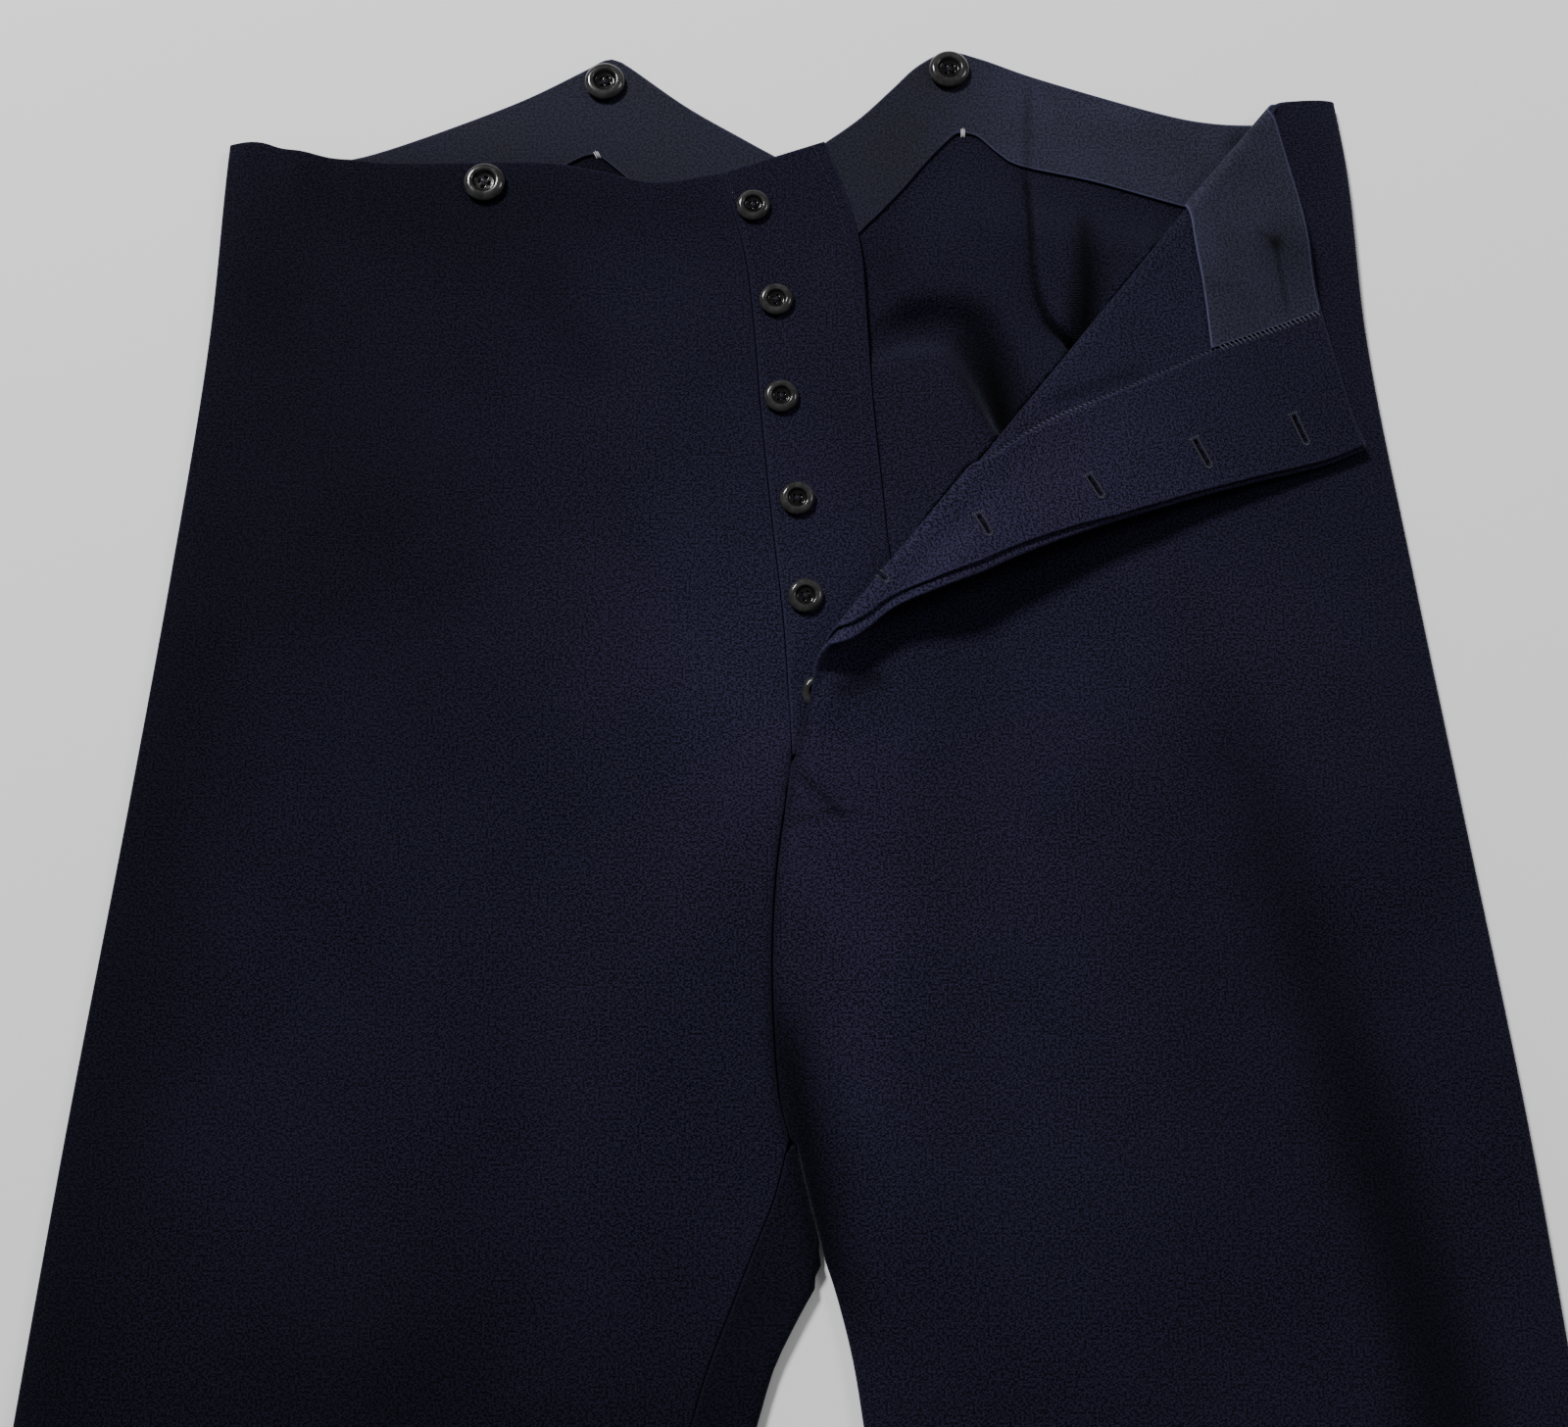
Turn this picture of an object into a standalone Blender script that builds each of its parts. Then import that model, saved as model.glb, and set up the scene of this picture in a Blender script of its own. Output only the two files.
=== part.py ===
"""Uniform trousers laid flat, front up, with the wearer's left front folded open at the fly.

The table of the garment's sizes is in millimetres, x to the right and y towards the waist, with the
crotch at about y = -150. The finished pieces are in metres, centred over the origin, on z = 0.
"""

import math

import bpy
import numpy as np
from mathutils import Matrix, Vector
from mathutils.geometry import delaunay_2d_cdt

MM = 0.001

# Thickness of the cloths, and the gap kept between pieces
CLOTH = 1.8
TWILL = 1.0
FLY_CLOTH = 1.4
GAP = 0.3

# Heights above the table of the undersides that lie on the backs
ON_BACK = CLOTH + GAP
ON_BACK_FACING = ON_BACK + TWILL + GAP
ON_FRONT_FACING = ON_BACK_FACING + TWILL + GAP
ON_STAND = ON_BACK_FACING + CLOTH + GAP
OVER_FLY = ON_STAND + FLY_CLOTH + GAP

# Outer side seams: the same edge for front and back of each leg
SIDES = np.array(
    [  # y, right leg x, left leg x
        (250, -218.5, 219.0),
        (226, -219.5, 221.5),
        (150, -221.0, 224.0),
        (54, -228.0, 234.0),
        (-33, -236.0, 244.0),
        (-152, -248.0, 257.5),
        (-243, -256.0, 265.0),
        (-520, -277.0, 285.0),
        (-910, -304.5, 313.5),
    ]
)

# Inner edges of the legs below the crotch
INNERS = np.array(
    [  # y, right inseam x, right folded edge x, left edge x
        (-150, 2.0, 3.5, 3.9),
        (-172, -4.0, 8.8, 9.3),
        (-184, -9.0, 11.9, 12.5),
        (-190, -11.6, 12.7, 13.9),
        (-197, -14.4, 11.6, 16.3),
        (-206, -18.0, 6.5, 19.0),
        (-222, -24.5, -2.0, 23.0),
        (-243, -31.0, -9.0, 26.5),
        (-330, -44.0, -25.0, 36.0),
        (-520, -63.0, -46.0, 54.0),
        (-910, -103.0, -89.0, 98.0),
    ]
)

# Hems: y at the middle of each, and the lean of the hem line that keeps it square to the leg
HEM_Y = -890
HEM_LEAN = 0.09

# Runs of the outlines, each a smooth curve through its points
RIGHT_WAIST = (
    (-219.2, 231), (-206, 231), (-193, 227), (-160, 222), (-98, 222), (-72, 218), (-50, 213.5), (-25, 218),
)
STAND_SEAM = ((-25, 218), (-16, 187), (-12, 158), (-8.5, 115), (-4, 70), (0, 33), (3, -16))
CROTCH_SEAM = ((3, -16), (1, -30), (-3, -60), (-4.2, -96), (-2, -133), (2, -150))
STAND_FREE_EDGE = (
    (16, 232), (24, 210), (30, 185), (32, 155), (34, 120), (38, 75), (40, 48), (36, 20), (24, -4), (5, -15),
)
LEFT_WAIST = ((42.8, 241.3), (61, 240), (104, 240.5), (128, 243), (157, 246), (191, 247.5), (219, 250))
FLY_EDGE = (
    (4, -18), (5, -11.5), (7.2, -2.5), (9.2, 4), (10.5, 10.5), (10.3, 17), (9.6, 25), (9.8, 33), (13.4, 42),
    (17.4, 50), (19.4, 57.5), (20.2, 64), (21.2, 73), (23, 84), (25.6, 95), (28.2, 108), (30.9, 124), (33, 139),
    (34.8, 155), (36.8, 175), (38.4, 200), (39.8, 225), (42.8, 241.3),
)
RIGHT_BACK_TOP = (
    (
        (-219.2, 228.5), (-200, 225.5), (-178, 225), (-155, 231),
        (-109, 250), (-82, 264.5), (-73, 270), (-69, 271),
    ),
    ((-69, 271), (-63, 268), (-39, 249.5), (-16, 235), (-1, 226)),
)
LEFT_BACK_TOP = (
    (-1, 226), (8, 228), (19, 235.5), (31, 245), (43, 257), (54, 268), (66, 274), (79, 271), (102, 262),
    (148, 247), (171, 242), (195, 241), (220.4, 240),
)
CENTRE_BACK_X = -1.0

# Waist facings: how far they stay inside the cloth's edge and the side seams, and their lower edges
FACING_INSET = 1.2
RIGHT_FACING_LOW = (
    ((-206, 184), (-160, 193), (-110, 208), (-92, 219), (-80, 226), (-74, 227.5)),
    ((-74, 227.5), (-62, 217), (-30, 187), (-2.2, 163)),
)
LEFT_FACING_LOW = (
    ((0.2, 163), (29, 193), (44, 209), (58, 226), (67, 235.5), (71, 237)),
    ((71, 237), (77, 235), (85, 227.5), (94, 222), (123, 215), (162, 203), (208, 192)),
)
FRONT_FACING_LOW = ((208, 207), (161, 201.5), (136, 197.8), (115, 195.7), (91.2, 192.4))

# The buttonhole strip of the fly: its inner edge, and how far its front edge lies inside the fly edge
FLY_FACING_INNER = (
    (98.7, 238.8), (94, 213.5), (89.8, 190), (84.6, 168.5), (80.4, 147.6), (76.9, 129.5),
    (73.9, 119), (70, 108.7), (66, 98.5), (57, 62), (43.5, 16), (26, -24), (14, -31),
)
FLY_FACING_INSET = ((-31, 7.0), (8, 6.5), (40, 4.2), (95, 3.6), (124, 2.6), (140, 1.4), (245, 1.2))
FLY_FACING_FRONT_YS = (
    -26, -18, -8, 2, 10, 17, 25, 33, 42, 50, 58, 68, 82, 95, 110, 125, 140, 155, 185, 215, 239.2,
)
BUTTONHOLES = (
    # middle x, y, length, tilt in degrees
    (54.7, 217.6, 13.0, -9),
    (52.3, 177.7, 12.6, -14),
    (47.0, 134.6, 10.4, -17),
    (41.2, 90.9, 10.4, -11),
    (32.5, 51.0, 10.4, -13),
    (25.5, 13.0, 10.4, -13),
)
BUTTONHOLE_WIDTH = 1.6

# Where the left front folds over: a straight line, rolled to this radius at the middle of the cloth
FOLD_FROM = (20.0, 27.0)
FOLD_TO = (191.0, 241.0)
ROLL = 6.0
ROLL_STEPS = 8

# How the folded flap sinks towards the cloth under it, away from the roll and at its free corner
FLAP_DROP = 5.0
FLAP_DROP_REACH = (5.0, 85.0)
CORNER_AT = (222.0, 105.0)
CORNER_DROP = 2.6
CORNER_REACH = 60.0

# How flat the fold and its flap are pressed near the waist edge, less over the brace button under them
WAIST_PRESS = 3.0
WAIST_PRESS_REACH = 30.0
WAIST_PRESS_BUTTON = 0.72
WAIST_PRESS_ROUND_BUTTON = 21.0

# Soft folds of the fronts: ends in x and y, half width, height
FOLDS = (
    # x0, y0, x1, y1, half width, height
    (143, 62, 232, -205, 17, -1.1),
    (-150, -90, -175, -420, 24, -0.9),
    (52, -20, 118, -210, 20, 0.5),
    (150, -420, 205, -640, 22, -0.9),
    (-80, -430, -190, -560, 20, -0.8),
    (-60, 160, -40, 20, 18, -0.6),
)

# How far the middle of each front rounds up between its two edges
CROWN = 1.3

# The free fly edge stands up off the cloth under it: height, where along the edge, how far in it reaches
EDGE_LIFT = 5.5
EDGE_LIFT_AT = 92.0
EDGE_LIFT_LENGTH = 62.0
EDGE_LIFT_REACH = 38.0

# The left back in the open fly: how high it stands against the roll, what share of that is left far from
# the roll, and over what distances it rises beside the stand, the facing and the roll
SWELL_HEIGHT = 14.0
SWELL_FAR = 0.36
SWELL_FADE = 30.0
SWELL_AT_STAND = (1.8, 5.8)
SWELL_AT_STAND_SHARE = 0.42
SWELL_AT_STAND_UP_TO = (136.0, 150.0)
SWELL_FROM_STAND = (1.8, 16.0)
SWELL_FROM_FACING = (1.0, 34.0)
SWELL_FROM_ROLL = (-1.0, 4.0)
HOLLOW_POWER = 3

# How far along the fold the fly facing goes round the roll, which is thicker by it there
FACING_ON_ROLL = (80.0, 84.0)

# Hollows that cut into that swell
BROAD_HOLLOW = (
    # x, y, half width, depth as a share
    (33, 147, 9, 0.78),
    (48, 150.5, 9, 0.78),
    (59, 151.5, 10, 0.84),
    (68.5, 148, 10.5, 0.92),
    (75, 138, 9.6, 0.95),
    (79.5, 126, 7.8, 0.95),
    (83, 114, 6.2, 0.94),
    (86.5, 103, 4.8, 0.90),
)
NARROW_HOLLOW = (
    # x, y, half width, depth as a share
    (118.0, 207, 3.8, 0.0),
    (117.8, 195, 4.4, 0.34),
    (117.6, 180, 5.2, 0.50),
    (117.3, 164, 6.2, 0.64),
    (116.0, 150, 6.8, 0.74),
    (114.5, 138, 6.8, 0.76),
)
DART_HOLLOW = (
    # x, y, half width, depth as a share
    (95.5, 216, 6, 0.10),
    (95.6, 200, 7, 0.18),
    (95.6, 186, 8, 0.24),
    (96.7, 166, 9, 0.30),
    (100.1, 153.2, 8, 0.36),
    (104.4, 147.1, 7, 0.42),
    (109.5, 141.5, 6, 0.48),
)
DART_STEP = 2.5

# Where points stand on the swell: rows beside the roll and beside each hollow, and a wider field
ROLL_ROWS = (-2.5, -1.0, 0.25, 1.5, 2.75, 4.0, 6.5)
STAND_ROWS = (-2.5, 1.4, 3.2, 5.8, 9.5)
FACING_ROWS = (-0.8, -5.0, -11.0)
BROAD_ROWS = (-12, -8, -4.5, -1.5, 1.5, 4.5, 8, 12)
NARROW_ROWS = (-7, -4.5, -2, 2, 4.5, 7)
DART_ROWS = (-8, -4.5, -1.8, 0, 1.4, 3, 6)
ROW_PITCH = 8.0
SWELL_PITCH = 8.0
STEEP = 1.7

# Darts of the backs: the crease, from the facing down to its point, on each back
LEFT_DART = ((95.5, 216), (95.5, 192), (97, 167), (101, 152), (108, 144))
RIGHT_DART = ((-96.5, 202), (-96.5, 184), (-98, 165), (-102, 150), (-109, 142))
DART_HEIGHT = 1.1
DART_WIDTH = 11.0

# Buttons: centres in x and y
FLY_BUTTONS = ((-12, 203), (-3, 163), (-1, 123), (5, 82), (8, 44), (13, 7.5))
FLY_BUTTON_RADIUS = 6.5
FLY_BUTTON_HEIGHT = 2.7
BRACE_BUTTON_RADIUS = 8.0
BRACE_BUTTON_HEIGHT = 3.2
RIGHT_FRONT_BRACE = (-117, 212)
RIGHT_BACK_BRACE = (-71.5, 258.5)
LEFT_BACK_BRACE = (66, 264)
LEFT_FRONT_BRACE = (130.5, 231.5)
LEFT_FRONT_SHANK = 0.6
OVER_BUTTON_RADII = (5.0, 9.5, 16.0)
BUTTON_SIDES = 16

# The right back's roll round the inner edge of the leg: radius at its middle, where it starts
WRAP = (ON_BACK_FACING + 0.6) / 2
WRAP_STEPS = 6
WRAP_FROM_Y = -154.5

# Spacing of the points that shape the cloth
UPPER_STEP = 21.0
LEG_STEP = 42.0
LEG_FROM_Y = -250.0
EDGE_STEP = 12.0


def clear_scene():
    for old in list(bpy.data.objects):
        bpy.data.objects.remove(old)


def smooth_step(low, high, value):
    t = np.clip((np.asarray(value, float) - low) / (high - low), 0, 1)
    return t * t * (3 - 2 * t)


def table_x(table, column, y):
    """Reads a column of a table at height y, as a cubic through its rows."""
    rows = table[::-1]
    ys, xs = rows[:, 0], rows[:, column]
    slopes = np.gradient(xs, ys)
    y = np.clip(np.asarray(y, float), ys[0], ys[-1])
    k = np.clip(np.searchsorted(ys, y, side="right") - 1, 0, len(ys) - 2)
    h = ys[k + 1] - ys[k]
    t = (y - ys[k]) / h
    return (
        (2 * t**3 - 3 * t**2 + 1) * xs[k]
        + (t**3 - 2 * t**2 + t) * h * slopes[k]
        + (3 * t**2 - 2 * t**3) * xs[k + 1]
        + (t**3 - t**2) * h * slopes[k + 1]
    )


def run(points, step=EDGE_STEP):
    """A smooth curve through the points, sampled about every step millimetres."""
    p = np.array(points, float)
    ext = np.vstack([2 * p[0] - p[1], p, 2 * p[-1] - p[-2]])
    out = [p[0]]
    for a, b, c, d in zip(ext, ext[1:], ext[2:], ext[3:]):
        count = max(1, round(float(np.linalg.norm(c - b)) / step))
        for t in np.arange(1, count + 1) / count:
            out.append(
                0.5
                * (2 * b + (c - a) * t + (2 * a - 5 * b + 4 * c - d) * t**2 + (3 * b - a - 3 * c + d) * t**3)
            )
    return np.array(out)


def column_run(table, column, from_y, to_y):
    """The stretch of a table's edge between two heights, sampled closely above LEG_FROM_Y and widely below."""
    ys = [from_y]
    direction = 1 if to_y > from_y else -1
    while (to_y - ys[-1]) * direction > 1:
        step = EDGE_STEP if ys[-1] > LEG_FROM_Y else LEG_STEP
        left = abs(to_y - ys[-1])
        ys.append(ys[-1] + direction * (left if left < 1.5 * step else step))
    return np.column_stack([table_x(table, column, ys), ys])


def moved(points, dx=0.0, dy=0.0):
    return np.asarray(points, float) + (dx, dy)


def joined(*runs):
    """One closed outline from runs that follow each other; of two points at one place the later stays."""
    points = np.vstack(runs)
    keep = [0]
    for i in range(1, len(points)):
        if np.linalg.norm(points[i] - points[keep[-1]]) < 0.5:
            keep.pop()
        keep.append(i)
    if np.linalg.norm(points[keep[-1]] - points[0]) < 0.5:
        keep.pop()
    return points[keep]


def inside(points, outline):
    """Whether each point lies in the closed outline, by counting crossings."""
    x, y = points[:, 0][:, None], points[:, 1][:, None]
    x0, y0 = outline[:, 0], outline[:, 1]
    x1, y1 = np.roll(x0, -1), np.roll(y0, -1)
    spans = (y0 > y) != (y1 > y)
    rise = np.where(y1 == y0, 1.0, y1 - y0)
    crosses = spans & (x < (x1 - x0) * (y - y0) / rise + x0)
    return crosses.sum(1) % 2 == 1


def distance_to_path(points, path, closed=False):
    """Distance from each point to a path of straight pieces."""
    a = np.asarray(path, float)
    b = np.roll(a, -1, axis=0) if closed else a[1:]
    a = a if closed else a[:-1]
    ab = b - a
    ap = points[:, None, :] - a
    t = np.clip((ap * ab).sum(2) / np.maximum((ab * ab).sum(1), 1e-9), 0, 1)
    return np.linalg.norm(ap - t[:, :, None] * ab, axis=2).min(1)


def field_points(outline, upper=UPPER_STEP, leg=LEG_STEP, leg_from=LEG_FROM_Y):
    """Points spread over the inside of an outline, closer above leg_from than below it."""
    low, high = outline.min(0), outline.max(0)
    rows = []
    y, shift = high[1] - upper / 2, 0
    while y > low[1]:
        step = upper if y > leg_from else leg
        xs = np.arange(low[0] + step * (0.25 + 0.5 * shift), high[0], step)
        rows.append(np.column_stack([xs, np.full(len(xs), y)]))
        y, shift = y - step * 0.9, 1 - shift
    points = np.vstack(rows)
    points = points[inside(points, outline)]
    clear = np.where(points[:, 1] > leg_from, upper, leg) * 0.4
    return points[distance_to_path(points, outline, closed=True) > clear]


def triangulated(outline, extra=(), loops=(), lines=()):
    """The outline filled with triangles through the extra points, with edges along the loops and lines."""
    rings = [np.asarray(outline, float), *[np.asarray(loop, float) for loop in loops]]
    points, edges = [], []
    for ring in rings:
        start = len(points)
        points += [Vector(p) for p in ring]
        edges += [(start + i, start + (i + 1) % len(ring)) for i in range(len(ring))]
    for line in lines:
        start = len(points)
        points += [Vector(p) for p in line]
        edges += [(start + i, start + i + 1) for i in range(len(line) - 1)]
    points += [Vector(p) for p in extra]
    verts, _, faces, *_ = delaunay_2d_cdt(points, edges, [], 1, 1e-4)
    flat = np.array([v[:] for v in verts])
    faces = np.array([f[:] for f in faces])
    flat, faces = used_only(flat, faces[inside(flat[faces].mean(1), rings[0])])
    a, b, c = (flat[faces[:, i]] for i in range(3))
    turn = (b - a)[:, 0] * (c - a)[:, 1] - (b - a)[:, 1] * (c - a)[:, 0]
    faces[turn < 0] = faces[turn < 0][:, ::-1]
    return flat, faces


def beside(edge, by):
    """A row of points beside a side edge, so that the cloth rounds up evenly from it."""
    return moved(edge[1:-1], by)


def used_only(flat, faces):
    """The points that the faces use, and the faces renumbered for them."""
    used, index = np.unique(faces, return_inverse=True)
    return flat[used], index.reshape(-1, 3)


def part_within(flat, faces, outline, holes=()):
    """The faces of a filled outline that lie in an inner loop of it, less the holes."""
    centres = flat[faces].mean(1)
    keep = inside(centres, np.asarray(outline, float))
    for hole in holes:
        keep &= ~inside(centres, np.asarray(hole, float))
    return used_only(flat, faces[keep])


def normal_at(lay, spot, reach=2.0):
    """Unit normal of the laid cloth at one point, from points a little to either side."""
    spot = np.array([spot], float)
    du = lay(spot + (reach, 0))[0] - lay(spot - (reach, 0))[0]
    dv = lay(spot + (0, reach))[0] - lay(spot - (0, reach))[0]
    n = np.cross(du, dv)[0]
    return n / np.linalg.norm(n)


def wall(name, flat, faces, lay, low, high, material):
    """A closed wall over the triangles: each point is laid in space, then moved by low and by high
    along the direction that lay gives for the cloth's thickness."""
    middle, across = lay(flat)
    low, high = (np.broadcast_to(np.asarray(v, float), len(flat))[:, None] for v in (low, high))
    points = np.vstack([middle + across * high, middle + across * low])
    n = len(flat)
    ends = np.vstack([faces[:, [0, 1]], faces[:, [1, 2]], faces[:, [2, 0]]])
    known = {tuple(e) for e in ends.tolist()}
    rim = [(a, b) for a, b in known if (b, a) not in known]
    polygons = [tuple(f) for f in faces.tolist()]
    polygons += [tuple(v + n for v in f[::-1]) for f in faces.tolist()]
    polygons += [(b, a, a + n, b + n) for a, b in rim]
    mesh = bpy.data.meshes.new(name)
    mesh.from_pydata((points * MM).tolist(), [], polygons)
    mesh.update()
    return place(name, mesh, material)


def place(name, mesh, material):
    thing = bpy.data.objects.new(name, mesh)
    bpy.context.scene.collection.objects.link(thing)
    if not mesh.materials:
        mesh.materials.append(material)
    return thing


def material(name, colour, roughness, metallic=0.0):
    made = bpy.data.materials.new(name)
    made.use_nodes = True
    shader = made.node_tree.nodes["Principled BSDF"]
    shader.inputs["Base Color"].default_value = (*colour, 1)
    shader.inputs["Roughness"].default_value = roughness
    shader.inputs["Metallic"].default_value = metallic
    made.diffuse_color = (*colour, 1)
    return made


def upright(count):
    """The thickness direction of cloth that lies flat or nearly so."""
    return np.tile((0.0, 0.0, 1.0), (count, 1))


def fold_height(x, y):
    """Sum of the soft folds at each point, each a rounded ridge or trough that fades at its ends."""
    total = np.zeros_like(x)
    for x0, y0, x1, y1, half_width, height in FOLDS:
        ab = np.array([x1 - x0, y1 - y0], float)
        length = np.hypot(*ab)
        along = ((x - x0) * ab[0] + (y - y0) * ab[1]) / length**2
        across = ((y - y0) * ab[0] - (x - x0) * ab[1]) / length
        fade = smooth_step(-0.12, 0.25, along) * (1 - smooth_step(0.75, 1.12, along))
        total += height * fade * np.exp(-((across / half_width) ** 2))
    return total


def edge_rise(distance, reach=6.0):
    """From 0 at a seam to 1 inside it: how the cloth rounds up from a flattened edge."""
    return 1 - np.exp(-np.maximum(distance, 0) / reach)


def inner_x(y, seam, column):
    """x of a front's inner edge: the crotch seam above the crotch and the leg's inner edge below it."""
    path = run(seam)[::-1]
    above = np.interp(y, path[:, 1], path[:, 0])
    return np.where(y > INNERS[0, 0], above, table_x(INNERS, column, y))


def lay_right_front(flat):
    """The right front's middle surface, lying over the right back."""
    x, y = flat[:, 0], flat[:, 1]
    outer = table_x(SIDES, 1, y)
    inner = inner_x(y, STAND_SEAM + CROTCH_SEAM[1:], 1)
    u = np.clip((x - outer) / (inner - outer), 0, 1)
    level = ON_BACK_FACING + 0.6 * (1 - smooth_step(-200, -152, y))
    under = ON_BACK + (level - ON_BACK) * edge_rise(x - outer) + CROWN * np.sqrt(4 * u * (1 - u))
    ease = edge_rise(x - outer, 20) * edge_rise(inner - x, 20)
    z = under + CLOTH / 2 + fold_height(x, y) * ease
    return np.column_stack([x, y, z]), upright(len(flat))


def fly_edge_x(y):
    path = run(FLY_EDGE, 3)
    return np.interp(y, path[:, 1], path[:, 0])


def left_front_height(x, y):
    """Height of the left front's middle surface where it isn't folded over."""
    outer = table_x(SIDES, 2, y)
    inner = inner_x(y, CROTCH_SEAM, 3)
    at_fly = smooth_step(-34, -20, y)
    from_inner = np.where(at_fly > 0, 60 * at_fly, 0) + np.maximum(x - inner, 0)
    u = np.clip((x - inner) / (outer - inner), 0, 1)
    level = ON_BACK_FACING + 0.4 + (ON_FRONT_FACING - ON_BACK_FACING) * smooth_step(150, 188, y)
    rise = edge_rise(outer - x) * edge_rise(from_inner)
    under = ON_BACK + (level - ON_BACK) * rise + CROWN * np.sqrt(4 * u * (1 - u))
    from_fly = x - fly_edge_x(y)
    needed = ON_STAND + 0.1 + (OVER_FLY - ON_STAND) * smooth_step(0, 6.2, from_fly)
    fade_low = -72 + 30 * np.exp(-np.maximum(from_fly, 0) / 20)
    over_stand = np.exp(-(np.maximum(x - 40, 0) / 18) ** 2)
    over_stand = over_stand * smooth_step(fade_low, -17, y) * (1 - smooth_step(75, 130, y))
    under = under + np.maximum(needed - under, 0) * over_stand
    near_button = np.exp(-(((x - FLY_BUTTONS[-1][0]) / 15) ** 2) - ((y - FLY_BUTTONS[-1][1]) / 15) ** 2)
    under = under + 4.2 * near_button
    ease = edge_rise(outer - x, 20) * edge_rise(from_inner, 20)
    return under + CLOTH / 2 + fold_height(x, y) * ease


def fold_frame():
    """The fold line's start, its direction, and the direction across it towards the flap."""
    start, end = np.array(FOLD_FROM), np.array(FOLD_TO)
    along = (end - start) / np.linalg.norm(end - start)
    across = np.array([-along[1], along[0]])
    return start - across * ROLL, along, across


def waist_press(flat):
    """1 at the waist edge and exp(-(distance/reach)^2) below it, less over the hidden brace button."""
    waist = run(LEFT_WAIST)
    from_waist = np.maximum(np.interp(flat[:, 0], waist[:, 0], waist[:, 1]) - flat[:, 1], 0)
    from_button = np.linalg.norm(flat - LEFT_FRONT_BRACE, axis=1)
    over_button = WAIST_PRESS_BUTTON * np.exp(-((from_button / WAIST_PRESS_ROUND_BUTTON) ** 2))
    return np.exp(-((from_waist / WAIST_PRESS_REACH) ** 2)) * (1 - over_button)


def lay_left_front(flat):
    """The left front's middle surface: flat up to the fold line, then rolled over and laid back on itself."""
    start, along, across = fold_frame()
    a = (flat - start) @ along
    s = (flat - start) @ across
    foot = start + a[:, None] * along
    angle = np.clip(s / ROLL, 0, math.pi)
    back = np.maximum(s - math.pi * ROLL, 0)
    offset = ROLL * np.sin(angle) - back
    folded = foot + offset[:, None] * across
    lower = np.where((s > 0)[:, None], foot, flat)
    rise = ROLL * (1 - np.cos(angle))
    from_corner = np.linalg.norm(folded - CORNER_AT, axis=1)
    sink = FLAP_DROP + CORNER_DROP * np.exp(-((from_corner / CORNER_REACH) ** 2))
    from_edge = np.maximum(flat[:, 0] - fly_edge_x(flat[:, 1]), 0)
    lift = EDGE_LIFT * np.exp(-(((flat[:, 1] - EDGE_LIFT_AT) / EDGE_LIFT_LENGTH) ** 2))
    lift = lift * (1 - smooth_step(0, EDGE_LIFT_REACH, from_edge)) * smooth_step(0, 12, back)
    above = rise - sink * smooth_step(*FLAP_DROP_REACH, back) + lift
    above = above + (rise * WAIST_PRESS / (2 * ROLL) - above) * waist_press(flat)
    z = left_front_height(lower[:, 0], lower[:, 1]) + above
    plan = np.where((s > 0)[:, None], folded, flat)
    thick = np.column_stack([-np.sin(angle)[:, None] * across, np.cos(angle)])
    return np.column_stack([plan, z]), thick


def roll_lines(outline, pitch=13.0):
    """Lines along the fold, close across the roll, each from one edge of the outline to the other."""
    start, along, across = fold_frame()
    lines = []
    for s in np.arange(0, ROLL_STEPS + 1) / ROLL_STEPS * math.pi * ROLL:
        on_line = np.abs((outline - start) @ across - s) < 0.05
        ends = np.sort((outline[on_line] - start) @ along)
        count = max(2, round((ends[-1] - ends[0]) / pitch) + 1)
        lines.append(start + np.linspace(ends[0], ends[-1], count)[:, None] * along + s * across)
    return lines


def away_from_roll(points):
    start, _, across = fold_frame()
    s = (points - start) @ across
    return points[(s < -5) | (s > math.pi * ROLL + 5)]


def split_at_roll(outline):
    """Adds outline points where the roll's rows cross it, so that the rim bends round too."""
    start, _, across = fold_frame()
    steps = np.arange(0, ROLL_STEPS + 1) / ROLL_STEPS * math.pi * ROLL
    out = []
    for p, q in zip(outline, np.roll(outline, -1, axis=0)):
        sp, sq = (p - start) @ across, (q - start) @ across
        cuts = [(s - sp) / (sq - sp) for s in steps if (s - sp) * (s - sq) < 0]
        out += [p, *[p + (q - p) * t for t in sorted(cuts)]]
    return np.array([p for i, p in enumerate(out) if np.linalg.norm(p - out[i - 1]) > 0.15])


def wrap_x(y):
    """x of the right leg's inner fold at the middle of the cloth."""
    return table_x(INNERS, 2, y) - CLOTH / 2


def lay_right_back(flat):
    """The right back: flat on the table, then rolled up round the leg's inner edge to the inseam on top.

    Here x counts from the folded edge, so a row of the roll is a straight line."""
    x, y = flat[:, 0], flat[:, 1]
    fold_x = wrap_x(y)
    angle = np.clip((x + WRAP) / WRAP, 0, math.pi)
    back = np.maximum(x + WRAP - math.pi * WRAP, 0)
    plan = np.where(x > -WRAP, fold_x - WRAP + WRAP * np.sin(angle) - back, fold_x + x)
    z = CLOTH / 2 + WRAP * (1 - np.cos(angle))
    thick = np.column_stack([-np.sin(angle), np.zeros(len(flat)), np.cos(angle)])
    return np.column_stack([plan, y, z]), thick


def lay_at(height):
    """Lays cloth flat with its middle at this height."""
    return lambda flat: (np.column_stack([flat, np.full(len(flat), height)]), upright(len(flat)))


def nearest_on(points, table):
    """Distance from each point to a curve through a table's x and y, the table's other columns there, and
    the side it is on: 1 to the left of the curve's direction, -1 to its right."""
    path = run(table, 2.0)
    spot, ahead = path[:, :2], np.gradient(path[:, :2], axis=0)
    gap = points[:, None] - spot
    far = np.hypot(gap[..., 0], gap[..., 1])
    k = far.argmin(1)
    to = gap[np.arange(len(points)), k]
    side = np.sign(ahead[k, 0] * to[:, 1] - ahead[k, 1] * to[:, 0])
    return far.min(1), path[k, 2:], side


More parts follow.
